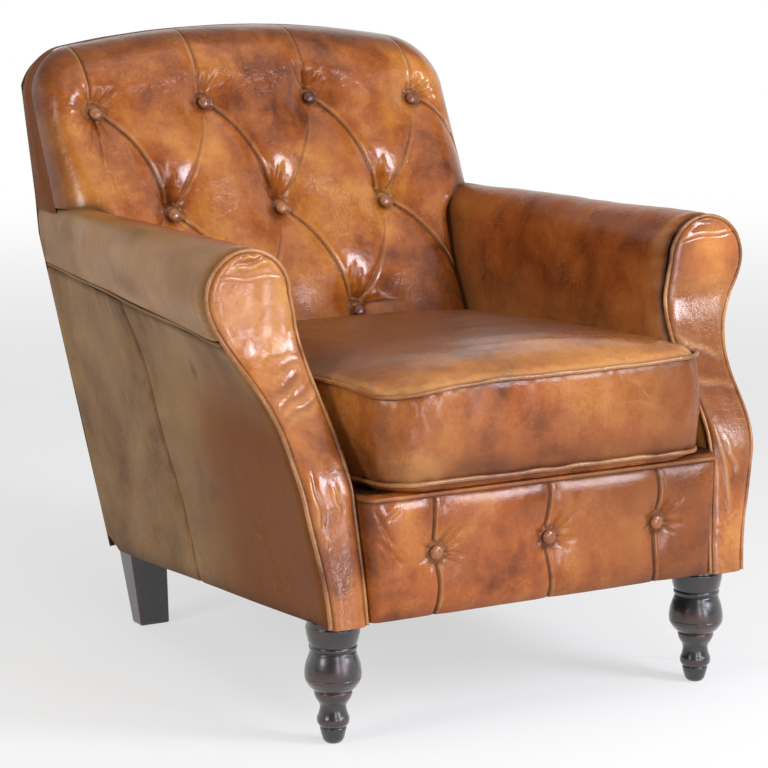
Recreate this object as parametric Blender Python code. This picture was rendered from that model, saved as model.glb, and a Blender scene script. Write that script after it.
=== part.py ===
"""Worn club chair: rolled arms, deep-buttoned raked back, loose seat cushion, turned front legs.

Metres, +Z up. The chair faces -Y. While it is modelled the front feet stand at y = 0, and the last
step puts the origin at the bottom centre of the bounding box.
"""
import math

import bmesh
import bpy
import numpy as np
from mathutils import Vector
from mathutils.bvhtree import BVHTree

# Clearances
GAP = 0.0004
LEATHER = 0.004

# Legs
FRONT_FOOT_X = 0.273
BACK_FOOT_X = 0.222
BACK_FOOT_Y = 0.6246
LEG_TOP_FRONT = 0.1552
LEG_TOP_BACK = 0.1130
BACK_LEG_TOP = (0.056, 0.040)
BACK_LEG_TOE = (0.044, 0.028)

# Arms, as seen from the front and then from the side
ARM_BOTTOM_FRONT = 0.157
ARM_BOTTOM_BACK = 0.112
ARM_IN_BOTTOM = 0.253
ARM_IN_WAIST = 0.265
ARM_OUT_BOTTOM = 0.308
ARM_OUT_WAIST = 0.338
ARM_WAIST_Z = 0.370
SCROLL_X = 0.341
SCROLL_Z = 0.547
SCROLL_R = 0.059
SCROLL_R_BACK = 0.030
SCROLL_HALF_HEIGHT_BACK = 0.044
SCROLL_X_BACK = 0.295
ARM_OUT_BACK_INSET = 0.030
ARM_IN_BACK_INSET = 0.010
FACE_Y_BOTTOM = -0.054
FACE_Y_HIP = -0.038
FACE_Y_SCROLL = 0.086
HIP_Z = 0.300
SWEEP_TOP_Z = 0.510
WELT_Z = 0.489
WELT_Z_BACK = 0.506
ARM_PAD = 0.014
ARM_PAD_BOTTOM = 0.262
PIPING_R = 0.0038
WELT_R = 0.003
FACING_T = 0.008

# Inside back: the plane through the button seats, and what lies in front of it and behind it
BUTTON_PLANE_Y = 0.638
BUTTON_ROW_Z = (0.726, 0.577, 0.431)
TOP_ROW_FALL = 0.009
BACK_SLOPE = 0.5
BUTTON_PITCH = 0.1705
BACK_SINK = 0.050
BACK_LOFT = 0.022
BACK_HALF_WIDTH = 0.3287
BACK_TOP = 0.8278
BACK_ARCH = 0.035
BACK_CORNER_R = 0.062
BACK_EDGE_R = 0.062
BACK_BOTTOM = 0.302
BUTTON_R = 0.0115
BUTTON_H = 0.007

# Outside back: it leans so that the band along the top of the back keeps its width
OUTSIDE_Y_LOW = 0.645
TOP_BAND_W = 0.0282
BAND_DROP = 0.004
EDGE_TURN = 0.006

# Seat
BORDER_Y = -0.063
BORDER_TOP = 0.317
BORDER_BOTTOM = 0.160
BORDER_HALF = 0.2512
BORDER_BUTTON_Z = 0.2388
BORDER_BUTTON_X = 0.163
BORDER_T = 0.0135
DECK_FRONT_Y = -0.048
DECK_BACK_Y = 0.462
DECK_TOP_FRONT = 0.317
DECK_SLOPE = 0.047
DECK_T = 0.011
CUSHION_HALF = 0.2350
CUSHION_BACK_HALF = 0.2462
CUSHION_SWELL = 0.010
CUSHION_FRONT = -0.080
CUSHION_BOX = 0.121
CUSHION_BOX_BACK = 0.112
CUSHION_CROWN = 0.042
CUSHION_CORNER_R = 0.050
CUSHION_REAR_R = 0.035
CUSHION_PIPING_R = 0.0045

# Frame
RAIL_T = 0.024
CREST_DROP = 0.077
CREST_H = 0.028
CREST_INSET = 0.090
LOWER_RAIL_Z = 0.335
LOWER_RAIL_H = 0.045
WEB_W = 0.050
BACK_RAIL_Y = 0.586
BLOCK_SIDE = 0.055
BLOCK_H = 0.040
SEAT_SIDE_GAP = 0.0045
RAIL_TOP_FRONT = 0.300
SIDE_RAIL_T = 0.0145
POST_W = 0.036
POST_T = 0.034
POST_X = ARM_OUT_BOTTOM - ARM_OUT_BACK_INSET - LEATHER - SIDE_RAIL_T - POST_W - 5 * GAP
WEB_T = 0.002
SPRING_R = 0.0019
SPRING_COUNT = 4
SPRING_SWING = 0.022
SPRING_PITCH = 0.072

TAN = (0.400, 0.190, 0.075)
COGNAC = (0.330, 0.140, 0.055)
OLIVE = (0.200, 0.125, 0.070)
PIPE = (0.420, 0.230, 0.110)
EBONY = (0.020, 0.014, 0.012)
BEECH = (0.480, 0.330, 0.190)
STEEL = (0.320, 0.320, 0.330)
HESSIAN = (0.360, 0.290, 0.190)
CAMBRIC = (0.035, 0.035, 0.028)


def smooth(t):
    """Ease from 0 to 1 with flat ends."""
    t = min(max(t, 0.0), 1.0)
    return t * t * (3.0 - 2.0 * t)


def mix(a, b, t):
    return a + (b - a) * t


def material(name, colour, roughness, metallic=0.0):
    found = bpy.data.materials.get(name)
    if found:
        return found
    made = bpy.data.materials.new(name)
    made.use_nodes = True
    shader = made.node_tree.nodes["Principled BSDF"]
    shader.inputs["Base Color"].default_value = (*colour, 1.0)
    shader.inputs["Roughness"].default_value = roughness
    shader.inputs["Metallic"].default_value = metallic
    made.diffuse_color = (*colour, 1.0)
    return made


def finish(name, data, look, sharp=math.radians(40)):
    """Link one named object with its own material."""
    made = bpy.data.objects.new(name, data)
    bpy.context.collection.objects.link(made)
    data.materials.append(material("m_" + name, *look))
    if hasattr(data, "polygons"):
        data.shade_smooth()
        data.set_sharp_from_angle(angle=sharp)
    return made


def body(name, verts, faces, look, sharp=math.radians(40)):
    """One closed mesh with its faces turned outwards."""
    bm = bmesh.new()
    made = [bm.verts.new(v) for v in verts]
    for face in faces:
        bm.faces.new([made[i] for i in face])
    wide = [f for f in bm.faces if len(f.verts) > 4]
    if wide:
        bmesh.ops.triangulate(bm, faces=wide)
    bmesh.ops.recalc_face_normals(bm, faces=bm.faces)
    if bm.calc_volume(signed=True) < 0:
        bmesh.ops.reverse_faces(bm, faces=bm.faces)
    data = bpy.data.meshes.new(name)
    bm.to_mesh(data)
    bm.free()
    return finish(name, data, look, sharp)


def slab(name, outer, inner, look):
    """A panel with a front skin and a back skin, both grids of the same shape."""
    rows, cols = len(outer), len(outer[0])
    count = rows * cols
    verts = [p for row in outer for p in row] + [p for row in inner for p in row]
    faces = []
    for i in range(rows - 1):
        for j in range(cols - 1):
            a, b, c, d = i * cols + j, i * cols + j + 1, (i + 1) * cols + j + 1, (i + 1) * cols + j
            faces.append((a, b, c, d))
            faces.append((count + d, count + c, count + b, count + a))
    rim = [(0, j) for j in range(cols)] + [(i, cols - 1) for i in range(1, rows)]
    rim += [(rows - 1, j) for j in range(cols - 2, -1, -1)] + [(i, 0) for i in range(rows - 2, 0, -1)]
    for (i, j), (k, m) in zip(rim, rim[1:] + rim[:1]):
        a, b = i * cols + j, k * cols + m
        faces.append((b, a, count + a, count + b))
    return body(name, verts, faces, look)


def loft(name, rings, look, sharp=math.radians(40)):
    """Closed rings joined in order, with both ends filled."""
    size = len(rings[0])
    verts = [p for ring in rings for p in ring]
    faces = [tuple(range(size))[::-1]]
    for k in range(len(rings) - 1):
        for i in range(size):
            a, b = k * size + i, k * size + (i + 1) % size
            faces.append((a, b, b + size, a + size))
    last = (len(rings) - 1) * size
    faces.append(tuple(last + i for i in range(size)))
    return body(name, verts, faces, look, sharp)


def turned(name, profile, sides, look, place=(0, 0, 0), tilt=None):
    """A turned piece from (height, radius) pairs, standing on its own axis."""
    rings = []
    for h, r in profile:
        ring = []
        for i in range(sides):
            a = 2 * math.pi * i / sides
            p = Vector((r * math.cos(a), r * math.sin(a), h))
            if tilt is not None:
                p = tilt @ p
            ring.append(p + Vector(place))
        rings.append(ring)
    return loft(name, rings, look)


def prism(name, low, high, look):
    """A straight member between two four-cornered ends."""
    return loft(name, [low, high], look)


def rod(name, points, radius, look, cyclic=False, fine=1):
    """Round cord or wire along a run of points."""
    data = bpy.data.curves.new(name, "CURVE")
    data.dimensions = "3D"
    data.bevel_depth = radius
    data.bevel_resolution = fine
    data.use_fill_caps = not cyclic
    spline = data.splines.new("POLY")
    spline.points.add(len(points) - 1)
    for knot, p in zip(spline.points, points):
        knot.co = (*p, 1.0)
    spline.use_cyclic_u = cyclic
    return finish(name, data, look)


# Arm section, in the x-z plane. t runs from 0 at the facing to 1 at the outside back.

def face_y(z):
    """The S curve of the arm front."""
    if z < HIP_Z:
        return mix(FACE_Y_BOTTOM, FACE_Y_HIP, max(z - ARM_BOTTOM_FRONT, 0) / (HIP_Z - ARM_BOTTOM_FRONT))
    return mix(FACE_Y_HIP, FACE_Y_SCROLL, smooth((z - HIP_Z) / (SWEEP_TOP_Z - HIP_Z)))


def outside_y(z):
    """The rear plane of the chair."""
    top_y = pad_rear_y(BACK_TOP) + TOP_BAND_W
    return mix(OUTSIDE_Y_LOW, top_y, (z - ARM_BOTTOM_BACK) / (BACK_TOP - ARM_BOTTOM_BACK))


def underside_z(y):
    """Lower edge of the leather, which falls towards the back."""
    return mix(ARM_BOTTOM_FRONT, ARM_BOTTOM_BACK, (y - FACE_Y_BOTTOM) / (OUTSIDE_Y_LOW - FACE_Y_BOTTOM))


def pad_rear_y(z):
    """The plane behind the inside back."""
    return BUTTON_PLANE_Y + BACK_SLOPE * (z - BUTTON_ROW_Z[1]) + BACK_SINK


def scroll(t):
    """Centre x, half width and half height of the roll."""
    return (mix(SCROLL_X, SCROLL_X_BACK, t), mix(SCROLL_R, SCROLL_R_BACK, t),
            mix(SCROLL_R, SCROLL_HALF_HEIGHT_BACK, t))


def inner_x(z, t):
    centre, half, _ = scroll(t)
    flare = smooth((z - ARM_BOTTOM_FRONT) / (ARM_WAIST_Z - ARM_BOTTOM_FRONT))
    low = mix(ARM_IN_BOTTOM, ARM_IN_WAIST, flare)
    rise = max(z - ARM_WAIST_Z, 0) / (SCROLL_Z - ARM_WAIST_Z)
    return mix(low - t * ARM_IN_BACK_INSET, centre - half, min(rise, 1) ** 2.2)


def outer_x(z, t):
    """Outer side: shaped at the facing, and straight from the foot to the roll at the rear."""
    flare = smooth((z - ARM_BOTTOM_FRONT) / (ARM_WAIST_Z - ARM_BOTTOM_FRONT))
    low = mix(ARM_OUT_BOTTOM, ARM_OUT_WAIST, flare)
    rise = max(z - ARM_WAIST_Z, 0) / (SCROLL_Z - ARM_WAIST_Z)
    front = mix(low, SCROLL_X + SCROLL_R, smooth(min(rise, 1) ** 1.3))
    climb = min(max(z - ARM_BOTTOM_BACK, 0) / (SCROLL_Z - ARM_BOTTOM_BACK), 1)
    return mix(front, mix(ARM_OUT_BOTTOM - ARM_OUT_BACK_INSET, SCROLL_X_BACK + SCROLL_R_BACK, climb), t)


def welt_z(t):
    """Height of the welt below the roll, which climbs towards the rear."""
    return mix(WELT_Z, WELT_Z_BACK, t)


def arm_section(t, z_in, z_out, steps, over, inset=0.0):
    """Points up the inner side, over the roll and down the outer side, moved inwards by inset."""
    centre, half, high = scroll(t)
    line = [(inner_x(z, t), z) for z in np.linspace(z_in, SCROLL_Z, steps, endpoint=False)]
    for i in range(over + 1):
        a = math.pi * (1 - i / over)
        line.append((centre + half * math.cos(a), SCROLL_Z + high * math.sin(a)))
    down = np.linspace(SCROLL_Z, z_out, steps + 1 if z_out < WELT_Z - 0.1 else 4)[1:]
    line += [(outer_x(z, t), z) for z in down]
    moved = []
    for i, (x, z) in enumerate(line):
        x0, z0 = line[max(i - 1, 0)]
        x1, z1 = line[min(i + 1, len(line) - 1)]
        length = math.hypot(x1 - x0, z1 - z0)
        moved.append((x + inset * (z1 - z0) / length, z - inset * (x1 - x0) / length))
    return moved


def arm_parts(side, x_sign):
    """Padded inside arm, outside panel, welt, front facing and its piping, for one arm."""
    stations = np.linspace(0, 1, 6)
    start = FACING_T + 2 * GAP

    def back_end(x, z):
        """The inner wall stops behind the inside back and the roll runs on to the outside back."""
        centre = scroll(1.0)[0]
        over = smooth((x - centre + 0.030) / 0.025)
        return mix(pad_rear_y(z) - 0.016, outside_y(z) - LEATHER - EDGE_TURN - 0.0015, over)

    def skin(inset):
        front = arm_section(0, ARM_PAD_BOTTOM, welt_z(0) + WELT_R + GAP, 9, 9, inset)
        rear = arm_section(1, ARM_PAD_BOTTOM, welt_z(1) + WELT_R + GAP, 9, 9, inset)
        plain = arm_section(1, ARM_PAD_BOTTOM, welt_z(1) + WELT_R + GAP, 9, 9)
        rows = []
        for (xf, zf), (xr, zr), (px, pz) in zip(front, rear, plain):
            y0, y1 = face_y(zf) + start + 0.0015, back_end(px, pz)
            rows.append([(x_sign * mix(xf, xr, t), mix(y0, y1, t), mix(zf, zr, t)) for t in stations])
        return rows

    slab(side + "_inside_arm", skin(0.0), skin(ARM_PAD), (TAN, 0.4))

    def panel(inset):
        rows = []
        for k in np.linspace(0, 1, 9):
            row = []
            for t in stations:
                low = mix(ARM_BOTTOM_FRONT, ARM_BOTTOM_BACK, t)
                z = mix(low, welt_z(t) - WELT_R - GAP, k)
                y = mix(face_y(z) + start, outside_y(z) - LEATHER - EDGE_TURN - GAP, t)
                row.append((x_sign * (outer_x(z, t) - inset), y, z))
            rows.append(row)
        return rows

    slab(side + "_outside_arm", panel(0.0), panel(LEATHER), (OLIVE, 0.45))

    welt = []
    for t in np.linspace(0, 1, 8):
        z = welt_z(t)
        y = mix(face_y(WELT_Z) + start + 0.002, outside_y(WELT_Z_BACK) - LEATHER - EDGE_TURN - 0.002, t)
        welt.append((x_sign * (outer_x(z, t) - WELT_R), y, z))
    rod(side + "_arm_welt", welt, WELT_R, (OLIVE, 0.45))

    path = arm_section(0, ARM_BOTTOM_FRONT + 0.001, ARM_BOTTOM_FRONT + 0.001, 12, 12, PIPING_R)
    line = [(x_sign * x, face_y(z) + 0.0012, z) for x, z in path]
    rod(side + "_facing_piping", line, PIPING_R, (PIPE, 0.4))

    edge = arm_section(0, ARM_BOTTOM_FRONT, ARM_BOTTOM_FRONT, 12, 12, 2 * PIPING_R + 0.0009)
    half = len(edge) // 2
    front, rear = [], []
    for (xa, za), (xb, zb) in zip(edge[:half], edge[::-1][:half]):
        row_f, row_r = [], []
        for k in np.linspace(0, 1, 5):
            x, z = mix(xa, xb, k), mix(za, zb, k)
            crown = 0.0035 * math.sin(math.pi * k) ** 0.5 if 0 < k < 1 else 0.0
            row_f.append((x_sign * x, face_y(z) - crown, z))
            row_r.append((x_sign * x, face_y(z) + FACING_T - GAP, z))
        front.append(row_f)
        rear.append(row_r)
    slab(side + "_arm_facing", front, rear, (TAN, 0.4))


def arm_frame(side, x_sign):
    """Front stump, arm rail and side rail, inside one arm."""
    foot = LEG_TOP_FRONT + 0.0014
    edge = arm_section(0, foot, foot, 12, 12, ARM_PAD + 0.0040)
    half = len(edge) // 2
    front, rear = [], []
    for (xa, za), (xb, zb) in zip(edge[:half], edge[::-1][:half]):
        y = face_y((za + zb) / 2) + FACING_T + 0.0034
        front.append([(x_sign * xa, y + GAP, za), (x_sign * xb, y + GAP, zb)])
        rear.append([(x_sign * xa, y + RAIL_T, za), (x_sign * xb, y + RAIL_T, zb)])
    slab(side + "_front_stump", front, rear, (BEECH, 0.6))

    rings = []
    post_side = POST_X + POST_W + GAP
    post_y = pad_rear_y(SCROLL_Z) + WEB_T + 0.0015 + POST_T / 2
    stump_y = face_y(SCROLL_Z) + FACING_T + RAIL_T + 0.0040
    bend_y = pad_rear_y(SCROLL_Z) - 0.030
    t_bend = (bend_y - stump_y) / (outside_y(SCROLL_Z) - stump_y)
    for x, y, t in ((SCROLL_X, stump_y, 0), (scroll(t_bend)[0], bend_y, t_bend),
                    (scroll(t_bend)[0] - 0.012, post_y - 0.017, 1), (post_side, post_y, None)):
        ring = []
        straight = t is not None and t < 0.95
        r = min(scroll(1 if t is None else t)[1:]) - ARM_PAD - (0.0032 if straight else 0.006)
        turn = 0.0 if straight else (math.pi / 2 if t is None else math.radians(40))
        for i in range(8):
            a = math.pi * (i + 0.5) / 4
            u, v = r * math.cos(a), r * math.sin(a)
            ring.append((x_sign * (x + u * math.cos(turn)), y + u * math.sin(turn), SCROLL_Z + v))
        rings.append(ring)
    loft(side + "_arm_rail", rings, (BEECH, 0.6))

    ends = []
    for t, y in ((0.0, face_y(0.25) + FACING_T + RAIL_T + 0.003), (1.0, OUTSIDE_Y_LOW - 0.012)):
        low = underside_z(y) + 0.0035 + GAP
        x = outer_x(low, t) - LEATHER - 3 * GAP
        ends.append([(x_sign * (x - SIDE_RAIL_T), y, low), (x_sign * x, y, low),
                     (x_sign * x, y, low + 0.075), (x_sign * (x - SIDE_RAIL_T), y, low + 0.075)])
    loft(side + "_side_rail", ends, (BEECH, 0.6))


# Back

def back_top(x, width=BACK_HALF_WIDTH):
    """Height of the back's outline over x: a low arch with rounded corners."""
    over = min(max(abs(x) - (width - BACK_CORNER_R), 0.0), BACK_CORNER_R)
    corner = BACK_CORNER_R - math.sqrt(BACK_CORNER_R ** 2 - over ** 2)
    return BACK_TOP - BACK_ARCH * (x / width) ** 2 - corner


def top_row_z(x):
    """Height of the top row of buttons, which falls a little towards the sides."""
    return BUTTON_ROW_Z[0] - TOP_ROW_FALL * (x / (1.5 * BUTTON_PITCH)) ** 2


def back_buttons():
    """Quincunx of 4, 3 and 2 buttons."""
    _, mid, low = BUTTON_ROW_Z
    row = [((i - 1.5) * BUTTON_PITCH, top_row_z((i - 1.5) * BUTTON_PITCH)) for i in range(4)]
    row += [((i - 1) * BUTTON_PITCH, mid) for i in range(3)]
    return row + [((i - 0.5) * BUTTON_PITCH, low) for i in range(2)]


def pleat_lines():
    """Folds between neighbouring buttons, and from the outer ones over the edges."""
    top, mid, low = BUTTON_ROW_Z
    p = BUTTON_PITCH
    lines = []
    for i in range(3):
        x = (i - 1) * p
        lines += [((x + half, top_row_z(x + half)), (x, mid)) for half in (-p / 2, p / 2)]
    for i in range(2):
        x = (i - 0.5) * p
        lines += [((x - p / 2, mid), (x, low)), ((x + p / 2, mid), (x, low))]
    for i in range(4):
        x = (i - 1.5) * p
        lines.append(((x, top_row_z(x)), (x, BACK_TOP)))
    for i in range(3):
        x = (i - 1) * p
        if abs(x) > 0:
            edge = math.copysign(BACK_HALF_WIDTH, x)
            lines.append(((x, mid), (edge, mid + 0.5 * (top - mid) * 0.6)))
    return lines


def distance_to(line, x, z):
    (x0, z0), (x1, z1) = line
    dx, dz = x1 - x0, z1 - z0
    t = min(max(((x - x0) * dx + (z - z0) * dz) / (dx * dx + dz * dz), 0), 1)
    return math.hypot(x - x0 - t * dx, z - z0 - t * dz)


def pad_depth(x, z, edges=True):
    """How far the inside back stands in front of its rear plane."""
    depth = BACK_SINK + BACK_LOFT
    for bx, bz in back_buttons():
        d = math.hypot(x - bx, z - bz)
        depth -= BACK_LOFT * math.exp(-(d / 0.030) ** 2)
    groove = max(math.exp(-(distance_to(line, x, z) / 0.011) ** 2) for line in pleat_lines())
    depth -= 0.008 * groove
    if edges:
        inside = min(BACK_HALF_WIDTH - abs(x), back_top(x) - z)
        if inside < BACK_EDGE_R:
            k = 1 - max(inside, 0) / BACK_EDGE_R
            depth *= math.sqrt(max(1 - k * k, 0))
    return max(depth, 0.004)


def shoulder(x):
    """Lower edge of the wide upper part: it follows the arm roll below it."""
    centre, half, high = scroll(0.74)
    over = min(max(abs(x) - centre, 0) / half, 1.0)
    return SCROLL_Z + high * math.sqrt(1 - over * over) + 0.004


def inside_back():
    """Deep-buttoned pad: narrow between the arms, full width above them."""
    high = scroll(0.74)[2]
    centre, half, _ = scroll(1.0)
    core = BUTTON_PITCH * 1.4
    inner = [BUTTON_PITCH * k / 10 for k in range(15)]
    cols = 2 * (len(inner) + 5) - 1

    def columns(width):
        """Fixed columns through the buttons, and five that spread out to the row's own width."""
        side = inner + [mix(core, width, k / 5) for k in range(1, 6)]
        return [-x for x in side[:0:-1]] + side

    top_row, mid_row, low_row = BUTTON_ROW_Z
    rows = []
    stem = list(np.linspace(BACK_BOTTOM, low_row, 6)) + list(np.linspace(low_row, SCROLL_Z, 7))[1:]
    for z in stem:
        rows.append([(x, z) for x in columns(inner_x(z, 1.0) - 0.0035)])
    for z in (mid_row, SCROLL_Z + 0.8 * high + 0.004):
        rise = min(max(z - SCROLL_Z - 0.004, 0) / high, 1.0)
        rows.append([(x, z) for x in columns(centre - half * math.sqrt(1 - rise * rise) - 0.005)])
    wide = BACK_HALF_WIDTH - 0.0005
    for step, width in enumerate(np.linspace(centre, wide, 4, endpoint=False)):
        rows.append([(x, shoulder(x) - 0.0004 * (4 - step)) for x in columns(width)])
    shoulder_z = shoulder(0)
    at_top = (top_row - shoulder_z) / (BACK_TOP - shoulder_z)
    for k in list(np.linspace(0, at_top, 8)) + list(np.linspace(at_top, 1, 8))[1:]:
        rows.append([(x, mix(shoulder(x), back_top(x) - 0.0005, k)) for x in columns(wide)])
    outer = [[(x, pad_rear_y(z) - pad_depth(x, z, z > shoulder_z - 0.06 and abs(x) > 0.2
                                            or z > shoulder_z), z) for x, z in row] for row in rows]
    count, n = len(rows), cols
    verts = [p for row in outer for p in row]
    faces = []
    for i in range(count - 1):
        for j in range(n - 1):
            faces.append((i * n + j, i * n + j + 1, (i + 1) * n + j + 1, (i + 1) * n + j))
    rim = [(0, j) for j in range(n)] + [(i, n - 1) for i in range(1, count)]
    rim += [(count - 1, j) for j in range(n - 2, -1, -1)] + [(i, 0) for i in range(count - 2, 0, -1)]
    first = len(verts)
    verts += [(rows[i][j][0], pad_rear_y(rows[i][j][1]), rows[i][j][1]) for i, j in rim]
    total = len(rim)
    for k, (i, j) in enumerate(rim):
        m = (k + 1) % total
        faces.append((rim[m][0] * n + rim[m][1], i * n + j, first + k, first + m))
    faces.append(tuple(first + k for k in range(total))[::-1])
    return body("inside_back", verts, faces, (TAN, 0.35))


def seat_button(name, pad, x, z, start_y, axis, look):
    """A covered button whose back stands just clear of the dimple that it pulls in."""
    along = Vector(axis).normalized()
    side = Vector((1, 0, 0))
    up = along.cross(side)
    nearest = 1.0
    tree = tree_of(pad)

    def lift(off):
        """The rounded rim rises clear of the leather outside the flat back of the button."""
        return max(off - 0.88, 0) / 0.12 * BUTTON_H * 0.35

    start = Vector((x, start_y, z))
    for ring in (0.0, 0.3, 0.6, 0.88, 0.94, 1.0):
        for i in range(24):
            a = 2 * math.pi * i / 24
            origin = start + (side * math.cos(a) + up * math.sin(a)) * ring * BUTTON_R
            hit = tree.ray_cast(origin, along)
            if hit[0] is not None:
                nearest = min(nearest, hit[3] + lift(ring))
    for vert in pad.data.vertices:
        ahead = (vert.co - start).dot(along)
        off = (vert.co - start - along * ahead).length / BUTTON_R
        if off < 1.0 and ahead > 0:
            nearest = min(nearest, ahead + lift(off))
    seat = start + along * (nearest - 2 * GAP)
    turn = (-along).to_track_quat("Z", "Y")
    profile = [(0.0, BUTTON_R * 0.88), (BUTTON_H * 0.35, BUTTON_R), (BUTTON_H * 0.75, BUTTON_R * 0.75),
               (BUTTON_H, BUTTON_R * 0.30)]
    turned(name, profile, 8, look, seat, turn.to_matrix())


def tree_of(made):
    bm = bmesh.new()
    bm.from_mesh(made.data)
    tree = BVHTree.FromBMesh(bm)
    bm.free()
    return tree


def outside_back():
    """Rear panel, as wide as the arms at its foot and as the back above them, with turned edges."""
    low_z = ARM_BOTTOM_BACK + 0.002

    def half_width(z):
        if z < SCROLL_Z:
            return outer_x(z, 1.0) - 0.0005
        return mix(outer_x(SCROLL_Z, 1.0) - 0.0005, BACK_HALF_WIDTH - 0.006, smooth((z - SCROLL_Z) / 0.06))

    outer, inner = [], []
    for k in np.linspace(0, 1, 10):
        row_o, row_i = [], []
        for u in (-1, -0.97, -0.9, -0.75, -0.5, -0.25, 0, 0.25, 0.5, 0.75, 0.9, 0.97, 1):
            x_top = (BACK_HALF_WIDTH - 0.006) * u
            z = mix(low_z, back_top(x_top) - 0.007, k)
            x = u * half_width(z)
            edge = EDGE_TURN * max(abs(u) ** 12, k ** 14)
            row_o.append((x, outside_y(z) - edge, z))
            row_i.append((x, outside_y(z) - edge - LEATHER, z))
        outer.append(row_o)
        inner.append(row_i)
    return slab("outside_back", outer, inner, (OLIVE, 0.45))


def back_border():
    """Leather band round the sides and top of the back, from the inside back to the outside back."""
    wide = BACK_HALF_WIDTH - 0.0005
    low = SCROLL_Z + 0.036
    line = [(-wide, z) for z in np.linspace(low, back_top(wide, wide), 4, endpoint=False)]
    for i in range(7):
        x = -(wide - BACK_CORNER_R) - BACK_CORNER_R * math.cos(i * math.pi / 14)
        line.append((x, back_top(x, wide)))
    line += [(x, back_top(x, wide)) for x in np.linspace(BACK_CORNER_R - wide, 0, 4)[1:]]
    line += [(-x, z) for x, z in line[-2::-1]]
    outer, inner = [], []
    for i, (x, z) in enumerate(line):
        x0, z0 = line[max(i - 1, 0)]
        x1, z1 = line[min(i + 1, len(line) - 1)]
        length = math.hypot(x1 - x0, z1 - z0)
        nx, nz = -(z1 - z0) / length, (x1 - x0) / length
        row_o, row_i = [], []
        for k in (0.0, 0.4, 0.7, 0.9, 1.0):
            drop = BAND_DROP * max(k - 0.4, 0) ** 2 / 0.36
            px, pz = x - nx * (drop + 0.0006), z - nz * (drop + 0.0006)
            qx, qz = px - nx * LEATHER, pz - nz * LEATHER
            for row, x_at, z_at in ((row_o, px, pz), (row_i, qx, qz)):
                front = pad_rear_y(z_at) + GAP
                rear = outside_y(z_at) - LEATHER - EDGE_TURN - 0.001
                row.append((x_at, mix(front, rear, k), z_at))
        outer.append(row_o)
        inner.append(row_i)
    return slab("back_border", outer, inner, (OLIVE, 0.45))


def back_frame():
    """Posts, crest rail, lower rail and webbing, between the two skins of the back."""
    def front_of(z):
        return pad_rear_y(z) + WEB_T + 0.0015

    kink = LOWER_RAIL_Z
    crest_low = BACK_TOP - CREST_DROP
    leg_front = BACK_FOOT_Y - POST_T / 2 - 0.006
    for side, s in (("left", -1), ("right", 1)):
        rings = []
        for z in (LEG_TOP_BACK + GAP, mix(LEG_TOP_BACK, kink, 0.48), kink, mix(kink, crest_low, 0.5),
                  crest_low - GAP):
            y = front_of(z) if z >= kink else mix(leg_front, front_of(kink),
                                                 smooth((z - LEG_TOP_BACK) / (kink - LEG_TOP_BACK)))
            x0, x1 = s * POST_X, s * (POST_X + POST_W)
            rings.append([(x0, y, z), (x1, y, z), (x1, y + POST_T, z), (x0, y + POST_T, z)])
        loft(side + "_back_post", rings, (BEECH, 0.6))
    crest_high = crest_low + CREST_H
    thick = outside_y(crest_low) - LEATHER - EDGE_TURN - 0.003 - front_of(crest_low)
    ends = []
    for x in (CREST_INSET - BACK_HALF_WIDTH, BACK_HALF_WIDTH - CREST_INSET):
        ends.append([(x, front_of(crest_low), crest_low), (x, front_of(crest_low) + thick, crest_low),
                     (x, outside_y(crest_high) - LEATHER - EDGE_TURN - 0.003, crest_high),
                     (x, front_of(crest_high), crest_high)])
    loft("crest_rail", ends, (BEECH, 0.6))
    ends = []
    inner = POST_X - GAP
    for x in (-inner, inner):
        z0, z1 = kink + 0.005, kink + 0.005 + LOWER_RAIL_H
        ends.append([(x, front_of(z0), z0), (x, front_of(z0) + RAIL_T, z0),
                     (x, front_of(z1) + RAIL_T, z1), (x, front_of(z1), z1)])
    loft("lower_back_rail", ends, (BEECH, 0.6))
    for i, k in enumerate((0.28, 0.49, 0.70)):
        z = mix(BACK_BOTTOM, BACK_TOP, k)
        end_x = POST_X + POST_W * 0.8
        ends = []
        for x in (-end_x, end_x):
            ends.append([(x, pad_rear_y(z) + 0.0005, z), (x, pad_rear_y(z) + 0.0005 + WEB_T, z),
                         (x, pad_rear_y(z + WEB_W) + 0.0005 + WEB_T, z + WEB_W),
                         (x, pad_rear_y(z + WEB_W) + 0.0005, z + WEB_W)])
        loft("back_webbing_%d" % (i + 1), ends, (HESSIAN, 0.9))


# Seat

def deck_top(y):
    return DECK_TOP_FRONT - DECK_SLOPE * (y - DECK_FRONT_Y)


def front_border():
    """Padded panel below the cushion, pulled in by three buttons with upright pleats."""
    def depth(x, z):
        u = abs(x) / BORDER_HALF
        v = (z - BORDER_BOTTOM) / (BORDER_TOP - BORDER_BOTTOM)
        loft_out = 0.009 * (1 - u ** 8) * (1 - abs(2 * v - 1) ** 4)
        for bx in (-BORDER_BUTTON_X, 0, BORDER_BUTTON_X):
            d = math.hypot(x - bx, z - BORDER_BUTTON_Z)
            loft_out -= 0.007 * math.exp(-(d / 0.020) ** 2) + 0.004 * math.exp(-((x - bx) / 0.007) ** 2)
        return loft_out

    xs = sorted(set(np.round(np.linspace(-BORDER_HALF, BORDER_HALF, 17), 5))
                | {bx + o for bx in (-BORDER_BUTTON_X, 0.0, BORDER_BUTTON_X) for o in (-0.008, 0.0, 0.008)})
    front, rear = [], []
    for z in np.linspace(BORDER_BOTTOM, BORDER_TOP, 8):
        front.append([(x, BORDER_Y + 0.004 - depth(x, z), z) for x in xs])
        rear.append([(x, BORDER_Y + BORDER_T - GAP, z) for x in xs])
    return slab("front_border", front, rear, (COGNAC, 0.4))


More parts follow.
